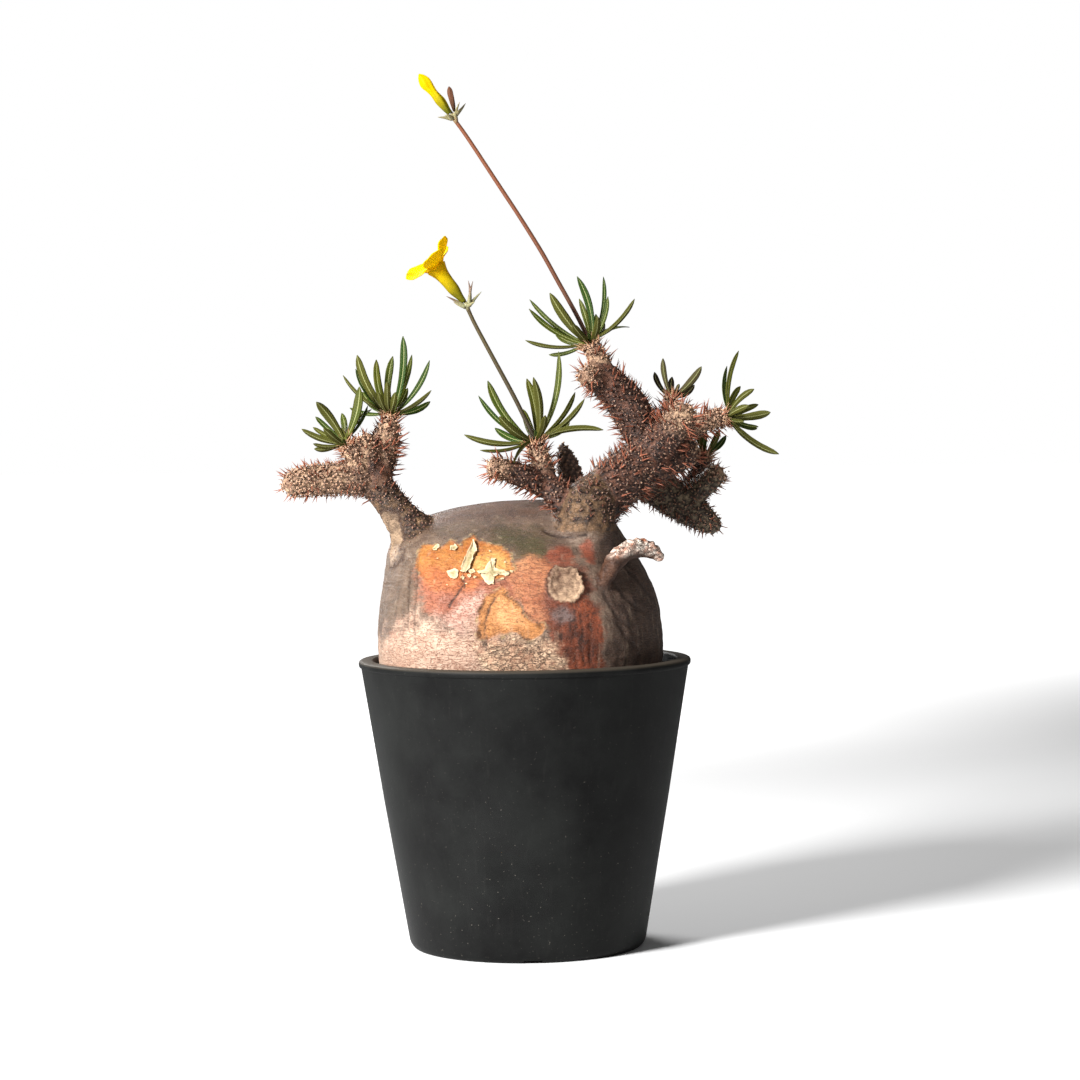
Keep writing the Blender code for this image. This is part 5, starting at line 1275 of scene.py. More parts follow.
def bark_material():
    """Living bark: a thin skin, smooth where it is young and peeled, dry and fibrous where it is old. It gives the
    eye patches of olive, orange, salmon, cream and rust with ragged edges, on a dull surface with a faint wax gloss."""
    made, tree = new_material("living_bark")
    spot = add(tree, "ShaderNodeTexCoord").outputs["Object"]
    noises = {}
    for label, scale, squash, detail, roughness in (
        ("cloud", 75.0, 1, 4.0, 0.55), ("blotch", 240.0, 1, 6.0, 0.62), ("speck", 1100.0, 1, 3.0, 0.6),
        ("fibre", 170.0, 7, 7.0, 0.68), ("folds", 300.0, 2.8, 4.0, 0.55), ("hairs", 760.0, 3.6, 3.0, 0.5),
        ("run", 330.0, 0.1, 3.0, 0.5),
    ):
        stretched = add(tree, "ShaderNodeMapping", links={"Vector": spot, "Scale": (1, 1, squash)})
        noises[label] = add(tree, "ShaderNodeTexNoise", links={
            "Vector": stretched, "Scale": scale, "Detail": detail, "Roughness": roughness})
    lines = {}
    for label, width in (("folds", 0.032), ("hairs", 0.05)):
        off = add(tree, "ShaderNodeMath", {"operation": "SUBTRACT"}, {0: noises[label], 1: 0.5})
        away = add(tree, "ShaderNodeMath", {"operation": "ABSOLUTE"}, {0: off})
        lines[label] = add(tree, "ShaderNodeMapRange", links={
            "Value": away, "From Min": 0.0, "From Max": width, "To Min": 1.0, "To Max": 0.0}).outputs[0]
    stored = {label: add(tree, "ShaderNodeAttribute", {"attribute_name": label}).outputs["Fac"] for label in (
        "limb", "wrinkled", "scar", "scar_fair", "horn", "crust", "olive", "root", "pale", "wart", "scales", "crack",
        "zone_scab")}

    ragged = add(tree, "ShaderNodeMath", {"operation": "MULTIPLY_ADD"}, {0: noises["fibre"], 1: 1.2, 2: -0.6})
    edge = add(tree, "ShaderNodeMath", {"operation": "MULTIPLY_ADD"}, {0: noises["speck"], 1: 0.9, 2: ragged})
    edge = add(tree, "ShaderNodeMath", {"operation": "SUBTRACT"}, {0: edge, 1: 0.45})
    mottle = add(tree, "ShaderNodeMath", {"operation": "MULTIPLY_ADD"}, {0: noises["blotch"], 1: 0.6, 2: -0.06})
    mottle = add(tree, "ShaderNodeMath", {"operation": "MULTIPLY_ADD"}, {0: noises["cloud"], 1: 0.4, 2: mottle})
    mingled = add(tree, "ShaderNodeMath", {"operation": "MULTIPLY_ADD"}, {0: noises["fibre"], 1: 0.22, 2: mottle})
    shade = add(tree, "ShaderNodeMapRange", links={"Value": mingled, "From Min": 0.42, "From Max": 0.68}).outputs[0]

    colour = add(tree, "ShaderNodeMix", {"data_type": "RGBA"}, {
        "Factor": shade, "A": linear("#54453b"), "B": linear("#7d6a5a")})
    over_limbs = []
    for name, (light, dark, *_) in ZONES.items():
        field = add(tree, "ShaderNodeAttribute", {"attribute_name": "zone_" + name}).outputs["Fac"]
        torn = add(tree, "ShaderNodeMath", {"operation": "ADD"}, {0: field, 1: edge})
        cover = add(tree, "ShaderNodeMapRange", {"interpolation_type": "SMOOTHSTEP"}, {
            "Value": torn, "From Min": -0.5, "From Max": 0.5})
        tones = add(tree, "ShaderNodeMix", {"data_type": "RGBA"}, {
            "Factor": shade, "A": linear(dark), "B": linear(light)})
        if name in OVER_LIMBS:
            over_limbs.append((torn, tones))
            continue
        if name in PEELED:
            off = add(tree, "ShaderNodeMath", {"operation": "ADD"}, {0: torn, 1: 0.5})
            away = add(tree, "ShaderNodeMath", {"operation": "ABSOLUTE"}, {0: off})
            rim = add(tree, "ShaderNodeMapRange", links={
                "Value": away, "From Min": 0.1, "From Max": 0.6, "To Min": 0.85, "To Max": 0.0})
            broken = add(tree, "ShaderNodeMapRange", links={
                "Value": noises["blotch"], "From Min": 0.46, "From Max": 0.56})
            lifted = add(tree, "ShaderNodeMath", {"operation": "MULTIPLY"}, {0: rim, 1: broken})
            colour = add(tree, "ShaderNodeMix", {"data_type": "RGBA"}, {
                "Factor": lifted, "A": colour, "B": linear("#a2895f")})
        colour = add(tree, "ShaderNodeMix", {"data_type": "RGBA"}, {"Factor": cover, "A": colour, "B": tones})

    bent = add(tree, "ShaderNodeVectorMath", {"operation": "MULTIPLY_ADD"}, {
        0: noises["folds"].outputs["Color"], 1: (0.004, 0.004, 0.003), 2: spot})
    plates = add(tree, "ShaderNodeMapping", links={"Vector": bent, "Scale": (1, 1, 1.5)})
    plated = add(tree, "ShaderNodeTexVoronoi", {"feature": "DISTANCE_TO_EDGE"}, {"Vector": plates, "Scale": 330.0})
    width = add(tree, "ShaderNodeMapRange", links={
        "Value": noises["blotch"], "From Min": 0.36, "From Max": 0.66, "To Min": 0.0, "To Max": 0.2})
    gaps = add(tree, "ShaderNodeMapRange", links={
        "Value": plated.outputs["Distance"], "From Min": 0.0, "From Max": width, "To Min": 1.0, "To Max": 0.0})
    on_scab = add(tree, "ShaderNodeMapRange", links={"Value": stored["zone_scab"], "From Min": -0.6, "From Max": 0.8})
    dry = add(tree, "ShaderNodeMath", {"operation": "MAXIMUM"}, {0: on_scab, 1: stored["crust"]})
    crackle = add(tree, "ShaderNodeMath", {"operation": "MULTIPLY"}, {0: gaps, 1: dry})
    crackle = add(tree, "ShaderNodeMath", {"operation": "MULTIPLY"}, {0: crackle, 1: 0.7})

    # Marks that darken or lighten whatever lies below: what drives each, its values at none and at full strength,
    # how strong it is, how much of that it has off the wrinkled zones, and its shade.
    for source, none, full, strength, elsewhere, shade_over in (
        (lines["folds"], 0, 1, 0.9, 0.22, "#7d4d39"), (lines["hairs"], 0, 1, 0.55, 0.2, "#8f6450"),
        (noises["fibre"], 0.37, 0.27, 0.85, 0.1, "#57382a"), (noises["run"], 0.6, 0.7, 0.0, 0.25, "#a8937c"),
        (noises["speck"], 0.38, 0.28, 0.8, 0.7, "#452b20"), (noises["speck"], 0.66, 0.74, 0.4, 0.2, "#dccdb8"),
    ):
        amount = add(tree, "ShaderNodeMapRange", links={
            "Value": source, "From Min": none, "From Max": full, "To Max": 1.0})
        reach = add(tree, "ShaderNodeMapRange", links={
            "Value": stored["wrinkled"], "To Min": elsewhere, "To Max": strength})
        factor = add(tree, "ShaderNodeMath", {"operation": "MULTIPLY"}, {0: amount, 1: reach})
        colour = add(tree, "ShaderNodeMix", {"data_type": "RGBA"}, {
            "Factor": factor, "A": colour, "B": linear(shade_over)})

    # The first of these is painted shade: a dark ring round the foot of each wart, as if in its shadow. The second is
    # each wart's pale head.
    wart_foot_painted_shade, wart_head = (
        add(tree, "ShaderNodeMapRange", links={
            "Value": stored["wart"], "From Min": low, "From Max": high, "To Max": strength}).outputs[0]
        for low, high, strength in ((0.08, 0.3, 0.75), (0.5, 0.85, 0.85)))
    # Skins of other kinds: where each lies, what shades it, and its two shades.
    skin_tone = add(tree, "ShaderNodeMapRange", links={"Value": noises["blotch"], "From Min": 0.36, "From Max": 0.64})
    for where, driver, dark, light in (
        (stored["scar"], stored["scar_fair"], "#5e4130", "#c8a687"), (stored["horn"], shade, "#1f120c", "#553726"),
        # The horn's pale crust on its upper faces is partly its own colour and partly painted light.
        (stored["crust"], skin_tone, "#b26c4a", "#fff2e2"), (None, skin_tone, "#281a13", "#754d3b"),
        (stored["olive"], skin_tone, "#3b3025", "#96846a"),
        (stored["root"], skin_tone, "#291c13", "#7a5d42"), (stored["pale"], skin_tone, "#765542", "#d0ad8b"),
        # The dark ring round each wart's foot is painted shade.
        (wart_foot_painted_shade, stored["pale"], "#170d0a", "#432c20"), (wart_head, stored["pale"], "#7f5545", "#c39f82"), (stored["scales"], stored["wart"], "#3a2d28", "#8f7566"),
    ):
        tones = add(tree, "ShaderNodeMix", {"data_type": "RGBA"}, {
            "Factor": driver, "A": linear(dark), "B": linear(light)})
        if where is None:
            caudex_colour, colour = colour, tones
            continue
        colour = add(tree, "ShaderNodeMix", {"data_type": "RGBA"}, {"Factor": where, "A": colour, "B": tones})
    for source, none, full, strength, shade_over in (
        (noises["speck"], 0.44, 0.32, 0.8, "#150c09"), (noises["speck"], 0.62, 0.72, 0.5, "#d0a08a"),
    ):
        amount = add(tree, "ShaderNodeMapRange", links={
            "Value": source, "From Min": none, "From Max": full, "To Max": strength})
        colour = add(tree, "ShaderNodeMix", {"data_type": "RGBA"}, {
            "Factor": amount, "A": colour, "B": linear(shade_over)})
    hem = add(tree, "ShaderNodeMath", {"operation": "ADD"}, {0: stored["limb"], 1: edge})
    on_limb = add(tree, "ShaderNodeMapRange", {"interpolation_type": "SMOOTHSTEP"}, {
        "Value": hem, "From Min": 0.2, "From Max": 0.8})
    colour = add(tree, "ShaderNodeMix", {"data_type": "RGBA"}, {"Factor": on_limb, "A": caudex_colour, "B": colour})
    for torn, tones in over_limbs:
        for low, high, strength, over in ((-1.1, -0.4, 0.85, linear("#3d281d")), (-0.4, 0.3, 1.0, tones)):
            amount = add(tree, "ShaderNodeMapRange", links={
                "Value": torn, "From Min": low, "From Max": high, "To Max": strength})
            colour = add(tree, "ShaderNodeMix", {"data_type": "RGBA"}, {"Factor": amount, "A": colour, "B": over})
    for factor in (stored["crack"], crackle):
        colour = add(tree, "ShaderNodeMix", {"data_type": "RGBA"}, {
            "Factor": factor, "A": colour, "B": linear("#2c1d16")})

    gloss = add(tree, "ShaderNodeMapRange", links={"Value": noises["blotch"], "To Min": 0.38, "To Max": 0.68})
    normal = None
    for height, depth, strength in (
        (noises["fibre"], 0.0009, 0.7), (noises["folds"], 0.0007, 0.5), (lines["folds"], -0.00025, 0.8),
        (crackle, -0.0007, 0.9), (noises["speck"], 0.0004, 0.8),
    ):
        links = {"Height": height, "Distance": abs(depth), "Strength": strength}
        if normal:
            links["Normal"] = normal
        normal = add(tree, "ShaderNodeBump", {"invert": depth < 0}, links)
    surface = add(tree, "ShaderNodeBsdfPrincipled", links={
        "Base Color": colour, "Roughness": gloss, "IOR": 1.45, "Specular IOR Level": 0.42, "Normal": normal})
    add(tree, "ShaderNodeOutputMaterial", links={"Surface": surface})
    return made


def spine_material():
    """Spine horn: hard and slightly glossy, salmon-orange while it is young and near black once it is old."""
    made, tree = new_material("spine_horn")
    tone = add(tree, "ShaderNodeAttribute", {"attribute_name": "tone"}).outputs["Fac"]
    along = add(tree, "ShaderNodeAttribute", {"attribute_name": "along"}).outputs["Fac"]
    young = add(tree, "ShaderNodeMix", {"data_type": "RGBA"}, {
        "Factor": along, "A": linear("#8c5541"), "B": linear("#93543c")})
    old = add(tree, "ShaderNodeMix", {"data_type": "RGBA"}, {
        "Factor": along, "A": linear("#3d231a"), "B": linear("#1c0f0c")})
    colour = add(tree, "ShaderNodeMix", {"data_type": "RGBA"}, {"Factor": tone, "A": old, "B": young})
    newest = add(tree, "ShaderNodeMapRange", links={"Value": tone, "From Min": 1.0, "From Max": 1.6}).outputs[0]
    colour = add(tree, "ShaderNodeMix", {"data_type": "RGBA"}, {
        "Factor": newest, "A": colour, "B": linear("#b58f6e")})
    surface = add(tree, "ShaderNodeBsdfPrincipled", links={
        "Base Color": colour, "Roughness": 0.45, "IOR": 1.54, "Specular IOR Level": 0.25})
    add(tree, "ShaderNodeOutputMaterial", links={"Surface": surface})
    return made


def felt_material():
    """Felt: dense short hairs on the spine cushions and crowns, which look soft and pale, with a bright edge."""
    made, tree = new_material("areole_felt")
    place_on = add(tree, "ShaderNodeTexCoord").outputs["Object"]
    tone = add(tree, "ShaderNodeAttribute", {"attribute_name": "tone"}).outputs["Fac"]
    hairs = add(tree, "ShaderNodeTexNoise", links={"Vector": place_on, "Scale": 3500.0, "Detail": 2.0})
    age = add(tree, "ShaderNodeMix", {"data_type": "RGBA"}, {
        "Factor": tone, "A": linear("#6f4a3a"), "B": linear("#bc9678")})
    lift = add(tree, "ShaderNodeBump", links={"Height": hairs, "Distance": 0.0002, "Strength": 0.8})
    surface = add(tree, "ShaderNodeBsdfPrincipled", links={
        "Base Color": age, "Roughness": 0.95, "Normal": lift, "Sheen Weight": 0.5, "Sheen Roughness": 0.4})
    add(tree, "ShaderNodeOutputMaterial", links={"Surface": surface})
    return made


def flake_material():
    """Dry peeled bark: papery, cream to pale green."""
    made, tree = new_material("dry_bark_flake")
    place_on = add(tree, "ShaderNodeTexCoord").outputs["Object"]
    tone = add(tree, "ShaderNodeAttribute", {"attribute_name": "tone"}).outputs["Fac"]
    fibre = add(tree, "ShaderNodeTexNoise", links={"Vector": place_on, "Scale": 900.0, "Detail": 5.0})
    spread = add(tree, "ShaderNodeMath", {"operation": "MULTIPLY_ADD"}, {0: fibre, 1: 1.2, 2: -0.7})
    share = add(tree, "ShaderNodeMath", {"operation": "ADD", "use_clamp": True}, {0: tone, 1: spread})
    colour = add(tree, "ShaderNodeMix", {"data_type": "RGBA"}, {
        "Factor": share, "A": linear("#8d7f58"), "B": linear("#d8c19c")})
    lift = add(tree, "ShaderNodeBump", links={"Height": fibre, "Distance": 0.0004, "Strength": 0.9})
    surface = add(tree, "ShaderNodeBsdfPrincipled", links={"Base Color": colour, "Roughness": 0.8, "Normal": lift})
    add(tree, "ShaderNodeOutputMaterial", links={"Surface": surface})
    return made


def leaf_material(name, upper, young, under, warm):
    """Leaf blade: a waxy cuticle over green flesh, with a pale midrib and margins, fine side veins, and an underside
    that is greyer and duller."""
    made, tree = new_material(name)
    place_on = add(tree, "ShaderNodeTexCoord").outputs["Object"]
    along, across, below, tone = (
        add(tree, "ShaderNodeAttribute", {"attribute_name": label}).outputs["Fac"]
        for label in ("along", "across", "under", "tone"))
    mottle = add(tree, "ShaderNodeTexNoise", links={"Vector": place_on, "Scale": 260.0, "Detail": 4.0})
    patchy = add(tree, "ShaderNodeMath", {"operation": "MULTIPLY_ADD"}, {0: mottle, 1: 0.9, 2: -0.62})
    leafwise = add(tree, "ShaderNodeMath", {"operation": "MULTIPLY_ADD", "use_clamp": True}, {0: tone, 1: 1.0, 2: patchy})
    green = add(tree, "ShaderNodeMix", {"data_type": "RGBA"}, {
        "Factor": leafwise, "A": linear(upper), "B": linear(warm)})
    foot = add(tree, "ShaderNodeMapRange", links={"Value": along, "From Min": 0.0, "From Max": 0.3, "To Min": 0.8, "To Max": 0.0})
    green = add(tree, "ShaderNodeMix", {"data_type": "RGBA"}, {
        "Factor": foot.outputs[0], "A": green, "B": linear(young)})
    sideways = add(tree, "ShaderNodeMath", {"operation": "ABSOLUTE"}, {0: across})
    slant = add(tree, "ShaderNodeMath", {"operation": "MULTIPLY_ADD"}, {0: sideways, 1: -0.06, 2: along})
    comb = add(tree, "ShaderNodeMath", {"operation": "MULTIPLY"}, {0: slant, 1: 130.0})
    wave = add(tree, "ShaderNodeMath", {"operation": "SINE"}, {0: comb})
    vein = add(tree, "ShaderNodeMapRange", links={"Value": wave, "From Min": 0.55, "From Max": 1.0, "To Max": 0.16})
    green = add(tree, "ShaderNodeMix", {"data_type": "RGBA"}, {
        "Factor": vein.outputs[0], "A": green, "B": linear("#4f5c2a")})
    under_colour = add(tree, "ShaderNodeMix", {"data_type": "RGBA"}, {
        "Factor": mottle, "A": linear(under), "B": linear("#4a4a24")})
    colour = add(tree, "ShaderNodeMix", {"data_type": "RGBA"}, {"Factor": below, "A": green, "B": under_colour})
    rib = add(tree, "ShaderNodeMapRange", links={
        "Value": sideways, "From Min": 0.04, "From Max": 0.13, "To Min": 0.9, "To Max": 0.0})
    colour = add(tree, "ShaderNodeMix", {"data_type": "RGBA"}, {
        "Factor": rib.outputs[0], "A": colour, "B": linear("#8f9160")})
    margin = add(tree, "ShaderNodeMapRange", links={"Value": sideways, "From Min": 0.88, "From Max": 1.0, "To Max": 0.4})
    colour = add(tree, "ShaderNodeMix", {"data_type": "RGBA"}, {
        "Factor": margin.outputs[0], "A": colour, "B": linear("#7a7142")})
    ridges = add(tree, "ShaderNodeBump", links={"Height": wave, "Distance": 0.00006, "Strength": 0.6})
    gloss = add(tree, "ShaderNodeMapRange", links={"Value": below, "To Min": 0.5, "To Max": 0.7})
    surface = add(tree, "ShaderNodeBsdfPrincipled", links={
        "Base Color": colour, "Roughness": gloss.outputs[0], "IOR": 1.45, "Specular IOR Level": 0.12,
        "Normal": ridges})
    add(tree, "ShaderNodeOutputMaterial", links={"Surface": surface})
    return made


def stalk_material(name, foot, head):
    """Stalk skin: soft green tissue with a fine down, flushed red-brown where the sun reaches it."""
    made, tree = new_material(name)
    place_on = add(tree, "ShaderNodeTexCoord").outputs["Object"]
    along = add(tree, "ShaderNodeAttribute", {"attribute_name": "along"}).outputs["Fac"]
    streak = add(tree, "ShaderNodeTexNoise", links={"Vector": place_on, "Scale": 700.0, "Detail": 4.0})
    share = add(tree, "ShaderNodeMath", {"operation": "MULTIPLY_ADD", "use_clamp": True}, {0: streak, 1: 0.6, 2: along})
    fair = add(tree, "ShaderNodeMath", {"operation": "SUBTRACT", "use_clamp": True}, {0: share, 1: 0.3})
    colour = add(tree, "ShaderNodeMix", {"data_type": "RGBA"}, {"Factor": fair, "A": linear(foot), "B": linear(head)})
    # The head is pale and downy, and the sepals' tips are brown.
    for low, high, strength, shade in ((0.965, 0.995, 0.8, "#8d8a63"), (1.025, 1.08, 0.85, "#5e3b2c")):
        amount = add(tree, "ShaderNodeMapRange", links={
            "Value": along, "From Min": low, "From Max": high, "To Max": strength})
        colour = add(tree, "ShaderNodeMix", {"data_type": "RGBA"}, {"Factor": amount, "A": colour, "B": linear(shade)})
    lift = add(tree, "ShaderNodeBump", links={"Height": streak, "Distance": 0.0001, "Strength": 0.6})
    surface = add(tree, "ShaderNodeBsdfPrincipled", links={
        "Base Color": colour, "Roughness": 0.55, "Normal": lift, "Subsurface Weight": 0.08,
        "Subsurface Scale": 0.001, "Sheen Weight": 0.05})
    add(tree, "ShaderNodeOutputMaterial", links={"Surface": surface})
    return made


def petal_material(name, foot, outside, inside):
    """Petal tissue: thin and velvety, and lit from behind as well as from the front."""
    made, tree = new_material(name)
    place_on = add(tree, "ShaderNodeTexCoord").outputs["Object"]
    along = add(tree, "ShaderNodeAttribute", {"attribute_name": "along"}).outputs["Fac"]
    inner = add(tree, "ShaderNodeAttribute", {"attribute_name": "inner"}).outputs["Fac"]
    cloud = add(tree, "ShaderNodeTexNoise", links={"Vector": place_on, "Scale": 420.0, "Detail": 5.0})
    blurred = add(tree, "ShaderNodeMath", {"operation": "MULTIPLY_ADD"}, {0: cloud, 1: 0.25, 2: along})
    rise = add(tree, "ShaderNodeMapRange", links={"Value": blurred, "From Min": 0.2, "From Max": 0.68})
    outer = add(tree, "ShaderNodeMix", {"data_type": "RGBA"}, {
        "Factor": rise.outputs[0], "A": linear(foot), "B": linear(outside)})
    # The lighter inner yellow is partly painted light, and the deeper outer gold partly painted shade.
    colour = add(tree, "ShaderNodeMix", {"data_type": "RGBA"}, {"Factor": inner, "A": outer, "B": linear(inside)})
    skin_side = add(tree, "ShaderNodeBsdfPrincipled", links={
        "Base Color": colour, "Roughness": 0.6, "Specular IOR Level": 0.1})
    through = add(tree, "ShaderNodeBsdfTranslucent", links={"Color": colour})
    surface = add(tree, "ShaderNodeMixShader", links={0: 0.45, 1: skin_side, 2: through})
    add(tree, "ShaderNodeOutputMaterial", links={"Surface": surface})
    return made


def pot_material():
    """Moulded matte polypropylene: dull black with a faint moulding grain, fine upright scuffs and settled dust."""
    made, tree = new_material("moulded_polypropylene")
    place_on = add(tree, "ShaderNodeTexCoord").outputs["Object"]
    grainy = add(tree, "ShaderNodeTexNoise", links={"Vector": place_on, "Scale": 2200.0, "Detail": 3.0})
    cloud = add(tree, "ShaderNodeTexNoise", links={"Vector": place_on, "Scale": 26.0, "Detail": 6.0, "Roughness": 0.62})
    upright = add(tree, "ShaderNodeMapping", links={"Vector": place_on, "Scale": (1, 1, 0.06)})
    streak = add(tree, "ShaderNodeTexNoise", links={"Vector": upright, "Scale": 420.0, "Detail": 4.0})
    patches = add(tree, "ShaderNodeMapRange", links={"Value": cloud, "From Min": 0.34, "From Max": 0.66}).outputs[0]
    colour = add(tree, "ShaderNodeMix", {"data_type": "RGBA"}, {
        "Factor": patches, "A": linear("#0c0c0c"), "B": linear("#1b1c1b")})
    height = add(tree, "ShaderNodeSeparateXYZ", links={"Vector": place_on}).outputs["Z"]
    # Painted highlight: the flat top of the rim is lighter, as if catching the light from above.
    rim_painted_highlight = add(tree, "ShaderNodeMapRange", links={
        "Value": height, "From Min": 0.1287, "From Max": 0.1299, "To Max": 0.3}).outputs[0]
    colour = add(tree, "ShaderNodeMix", {"data_type": "RGBA"}, {"Factor": rim_painted_highlight, "A": colour, "B": linear("#75695a")})
    scuff = add(tree, "ShaderNodeMapRange", links={"Value": streak, "From Min": 0.6, "From Max": 0.9, "To Max": 0.1})
    colour = add(tree, "ShaderNodeMix", {"data_type": "RGBA"}, {
        "Factor": scuff.outputs[0], "A": colour, "B": linear("#454340")})
    speck = add(tree, "ShaderNodeTexNoise", links={"Vector": place_on, "Scale": 900.0, "Detail": 2.0})
    dust = add(tree, "ShaderNodeMapRange", links={"Value": speck, "From Min": 0.7, "From Max": 0.77, "To Max": 0.35})
    low_down = add(tree, "ShaderNodeMapRange", links={
        "Value": height, "From Min": 0.09, "From Max": 0.02, "To Min": 0.3, "To Max": 1.0})
    settled = add(tree, "ShaderNodeMath", {"operation": "MULTIPLY"}, {0: dust, 1: low_down})
    colour = add(tree, "ShaderNodeMix", {"data_type": "RGBA"}, {
        "Factor": settled, "A": colour, "B": linear("#8c857b")})
    gloss = add(tree, "ShaderNodeMapRange", links={"Value": cloud, "To Min": 0.5, "To Max": 0.64})
    fine = add(tree, "ShaderNodeBump", links={"Height": grainy, "Distance": 0.00008, "Strength": 0.6})
    surface = add(tree, "ShaderNodeBsdfPrincipled", links={
        "Base Color": colour, "Roughness": gloss.outputs[0], "IOR": 1.49, "Specular IOR Level": 0.1, "Normal": fine})
    add(tree, "ShaderNodeOutputMaterial", links={"Surface": surface})
    return made


def grit_material(name, tinted):
    """Mineral grit: broken pumice, clay and lava, dull and dusty, each grain of one tint when tinted."""
    made, tree = new_material(name)
    place_on = add(tree, "ShaderNodeTexCoord").outputs["Object"]
    rough = add(tree, "ShaderNodeTexNoise", links={"Vector": place_on, "Scale": 1500.0, "Detail": 4.0})
    tint = add(tree, "ShaderNodeAttribute", {"attribute_name": "tint"}).outputs["Fac"]
    colour = add(tree, "ShaderNodeMix", {"data_type": "RGBA"}, {
        "Factor": rough, "A": linear("#3a2f26"), "B": linear("#7d6a54")})
    if tinted:
        for start, shade in ((0.28, "#9d8263"), (0.5, "#c3a98a"), (0.68, "#6a4a38"), (0.8, "#d9d0c2"), (0.92, "#494441")):
            past = add(tree, "ShaderNodeMath", {"operation": "GREATER_THAN"}, {0: tint, 1: start})
            colour = add(tree, "ShaderNodeMix", {"data_type": "RGBA"}, {
                "Factor": past, "A": colour, "B": linear(shade)})
    dusty = add(tree, "ShaderNodeMapRange", links={"Value": rough, "From Min": 0.4, "From Max": 0.7, "To Max": 0.45})
    colour = add(tree, "ShaderNodeMix", {"data_type": "RGBA"}, {
        "Factor": dusty.outputs[0], "A": colour, "B": linear("#a39582")})
    lift = add(tree, "ShaderNodeBump", links={"Height": rough, "Distance": 0.0003, "Strength": 0.8})
    surface = add(tree, "ShaderNodeBsdfPrincipled", links={"Base Color": colour, "Roughness": 0.92, "Normal": lift})
    add(tree, "ShaderNodeOutputMaterial", links={"Surface": surface})
    return made


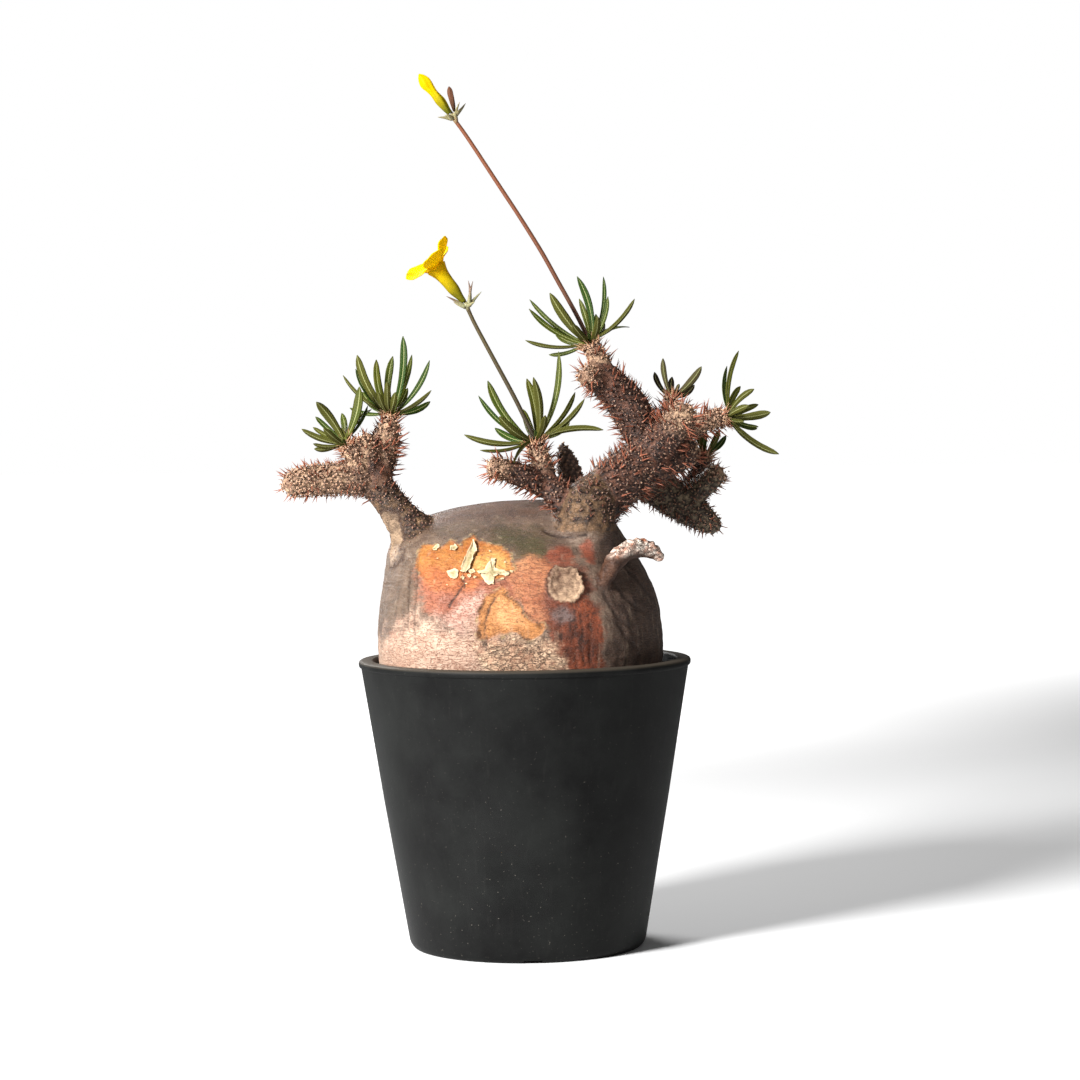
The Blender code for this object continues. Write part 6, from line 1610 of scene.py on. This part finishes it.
def studio():
    """A pale floor far wider than any camera's orbit, a fairly hard key light from the upper left, a fill, a soft back
    light and a sky. No wall stands up, so that every side can be seen."""
    made, tree = new_material("board_painted_glow")
    place_on = add(tree, "ShaderNodeTexCoord").outputs["Object"]
    faint = add(tree, "ShaderNodeTexNoise", links={"Vector": place_on, "Scale": 3.0, "Detail": 2.0})
    colour = add(tree, "ShaderNodeMix", {"data_type": "RGBA"}, {
        "Factor": faint, "A": linear("#f4f4f4"), "B": linear("#fafafa")})
    out = add(tree, "ShaderNodeVectorMath", {"operation": "LENGTH"}, {0: place_on}).outputs["Value"]
    aside = add(tree, "ShaderNodeVectorMath", {"operation": "DOT_PRODUCT"}, {
        0: place_on, 1: (-0.74, 0.67, 0)}).outputs["Value"]
    aside = add(tree, "ShaderNodeMath", {"operation": "ABSOLUTE"}, {0: aside})
    # Painted light: the floor glows from its far edge and on both sides of the shadow, as if lit by the room.
    clear, away, far = (
        add(tree, "ShaderNodeMapRange", {"interpolation_type": "SMOOTHSTEP"}, {
            "Value": value, "From Min": low, "From Max": high}).outputs[0]
        for value, low, high in ((out, NEAR_FLOOR, 0.95), (aside, 0.18, 0.75), (out, 1.5, 2.8)))
    glow = add(tree, "ShaderNodeMath", {"operation": "MULTIPLY"}, {0: clear, 1: away})
    glow = add(tree, "ShaderNodeMath", {"operation": "MAXIMUM"}, {0: glow, 1: far})
    surface = add(tree, "ShaderNodeBsdfPrincipled", links={
        "Base Color": colour, "Roughness": 0.9, "Emission Color": linear("#ffffff"), "Emission Strength": glow})
    add(tree, "ShaderNodeOutputMaterial", links={"Surface": surface})
    floors = bpy.data.collections.new("floors")
    for name, radii in (("floor_near", (0, NEAR_FLOOR)), ("floor_far", (NEAR_FLOOR, 1, 2.5, 12))):
        bm = bmesh.new()
        rings = [[bm.verts.new((r * math.cos(a), r * math.sin(a), 0)) for a in np.radians(range(0, 360, 5))]
                 for r in radii if r]
        if not radii[0]:
            bm.faces.new(rings[0])
        for inner, outer in zip(rings, rings[1:]):
            for a, b, c, d in zip(inner, outer, outer[1:] + outer[:1], inner[1:] + inner[:1]):
                bm.faces.new((a, b, c, d))
        floor = mesh_object(name, bm)
        floor.data.materials.append(made)
        # The far floor is there to be seen, and throws no light back on the plant.
        floor.visible_diffuse = floor.visible_glossy = not radii[0]
        floors.objects.link(floor)

    for name, place_at, aim, size, watts in (
        ("key_light", (-0.84, -0.92, 0.68), (0, 0, 0.17), 0.36, KEY_WATTS),
        ("fill_light", (1.3, -0.9, 0.9), (0, 0, 0.15), 1.2, FILL_WATTS),
        ("back_light", (-0.75, 1.15, 0.9), (0, 0, 0.15), 1.0, BACK_WATTS),
    ):
        lamp = bpy.data.lights.new(name, "AREA")
        lamp.shape = "DISK"
        lamp.size = size
        lamp.energy = watts
        lamp.spread = math.radians(95)
        holder = bpy.data.objects.new(name, lamp)
        holder.location = place_at
        holder.rotation_euler = (Vector(aim) - Vector(place_at)).to_track_quat("-Z", "Y").to_euler()
        bpy.context.scene.collection.objects.link(holder)
        if name == "fill_light":
            # A flag keeps the fill off the floor, so that the shadow stays deep.
            for item in floors.collection_objects:
                item.light_linking.link_state = "EXCLUDE"
            holder.light_linking.receiver_collection = floors

    sky = bpy.data.worlds.new("sky")
    sky.use_nodes = True
    sky.node_tree.nodes.clear()
    seen = add(sky.node_tree, "ShaderNodeLightPath").outputs["Is Camera Ray"]
    strength = add(sky.node_tree, "ShaderNodeMath", {"operation": "MAXIMUM"}, {0: seen, 1: SKY_STRENGTH})
    light = add(sky.node_tree, "ShaderNodeBackground", links={"Color": linear("#ffffff"), "Strength": strength})
    add(sky.node_tree, "ShaderNodeOutputWorld", links={"Surface": light})
    bpy.context.scene.world = sky

    lens = bpy.data.cameras.new("camera")
    lens.lens = CAMERA_LENS
    lens.sensor_width = 36
    lens.clip_end = 30
    camera = bpy.data.objects.new("camera", lens)
    camera.location = CAMERA_PLACE
    tilt, roll = (math.radians(a) for a in CAMERA_TURN)
    camera.rotation_euler = (Matrix.Rotation(tilt, 3, "X") @ Matrix.Rotation(roll, 3, "Z")).to_euler()
    bpy.context.scene.collection.objects.link(camera)
    bpy.context.scene.camera = camera


KEY_WATTS = 13
FILL_WATTS = 1.8
SKY_STRENGTH = 0.12
BACK_WATTS = 7
NEAR_FLOOR = 0.5
CAMERA_PLACE = (0.0075, -1.385, 0.24)
CAMERA_LENS = 102.33
CAMERA_TURN = (87.65, -0.65)

bpy.context.scene.view_settings.view_transform = "Standard"
studio()
rng = np.random.default_rng(SEED)
bark, horn_of_spines, felt = bark_material(), spine_material(), felt_material()

skin = grown_together(0.93)
areoles = areoles_on(skin, 5.6)
dress_skin(skin, areoles)
place(skin, "bark", bark, "plant_body")
make_flakes(skin, flake_material())

spines, cushions = spine_rows(areoles, rng)
crown_spines, tufts = crown_rows(rng)
place(bristles("spines", horn_of_spines, spine_shape(), spines + crown_spines, 5.2 * MM, 0.95 * MM), "bark", horn_of_spines)
place(bristles("areole_cushions", felt, cushion_shape(), cushions + tufts, 0.9 * MM, 1.2 * MM), "bark", felt)

blade = leaf_material("leaf_blade", "#233a0c", "#5c5c1e", "#45440f", "#4f4c12")
dusky_blade = leaf_material("leaf_blade_dusky", "#2e2418", "#4f4128", "#42342a", "#2a1d19")
for name in ROSETTES:
    make_rosette(name, dusky_blade if name == "leaves_back" else blade, rng)

make_stalk("stalk_tall", stalk_material("stalk_skin_red", "#452409", "#7a3f1c"))
make_stalk("stalk_short", stalk_material("stalk_skin_green", "#291f07", "#463911"))
# The deeper outer gold is partly painted shade, and the bright inner yellow partly painted light.
make_flower(petal_material("petal_yellow", "#6f6c18", "#e0c200", "#ffe400"))
make_bud("bud_large", STALKS["stalk_tall"], "petal", petal_material("bud_yellow_green", "#6f701e", "#e0c800", "#e0c800"))
make_bud("bud_small", SIDE_STALK, "small_bud", petal_material("bud_brown_pink", "#43301f", "#7d5540", "#7d5540"))

make_pot(pot_material())
make_soil(grit_material("soil_crumb", False), grit_material("mineral_grit", True))
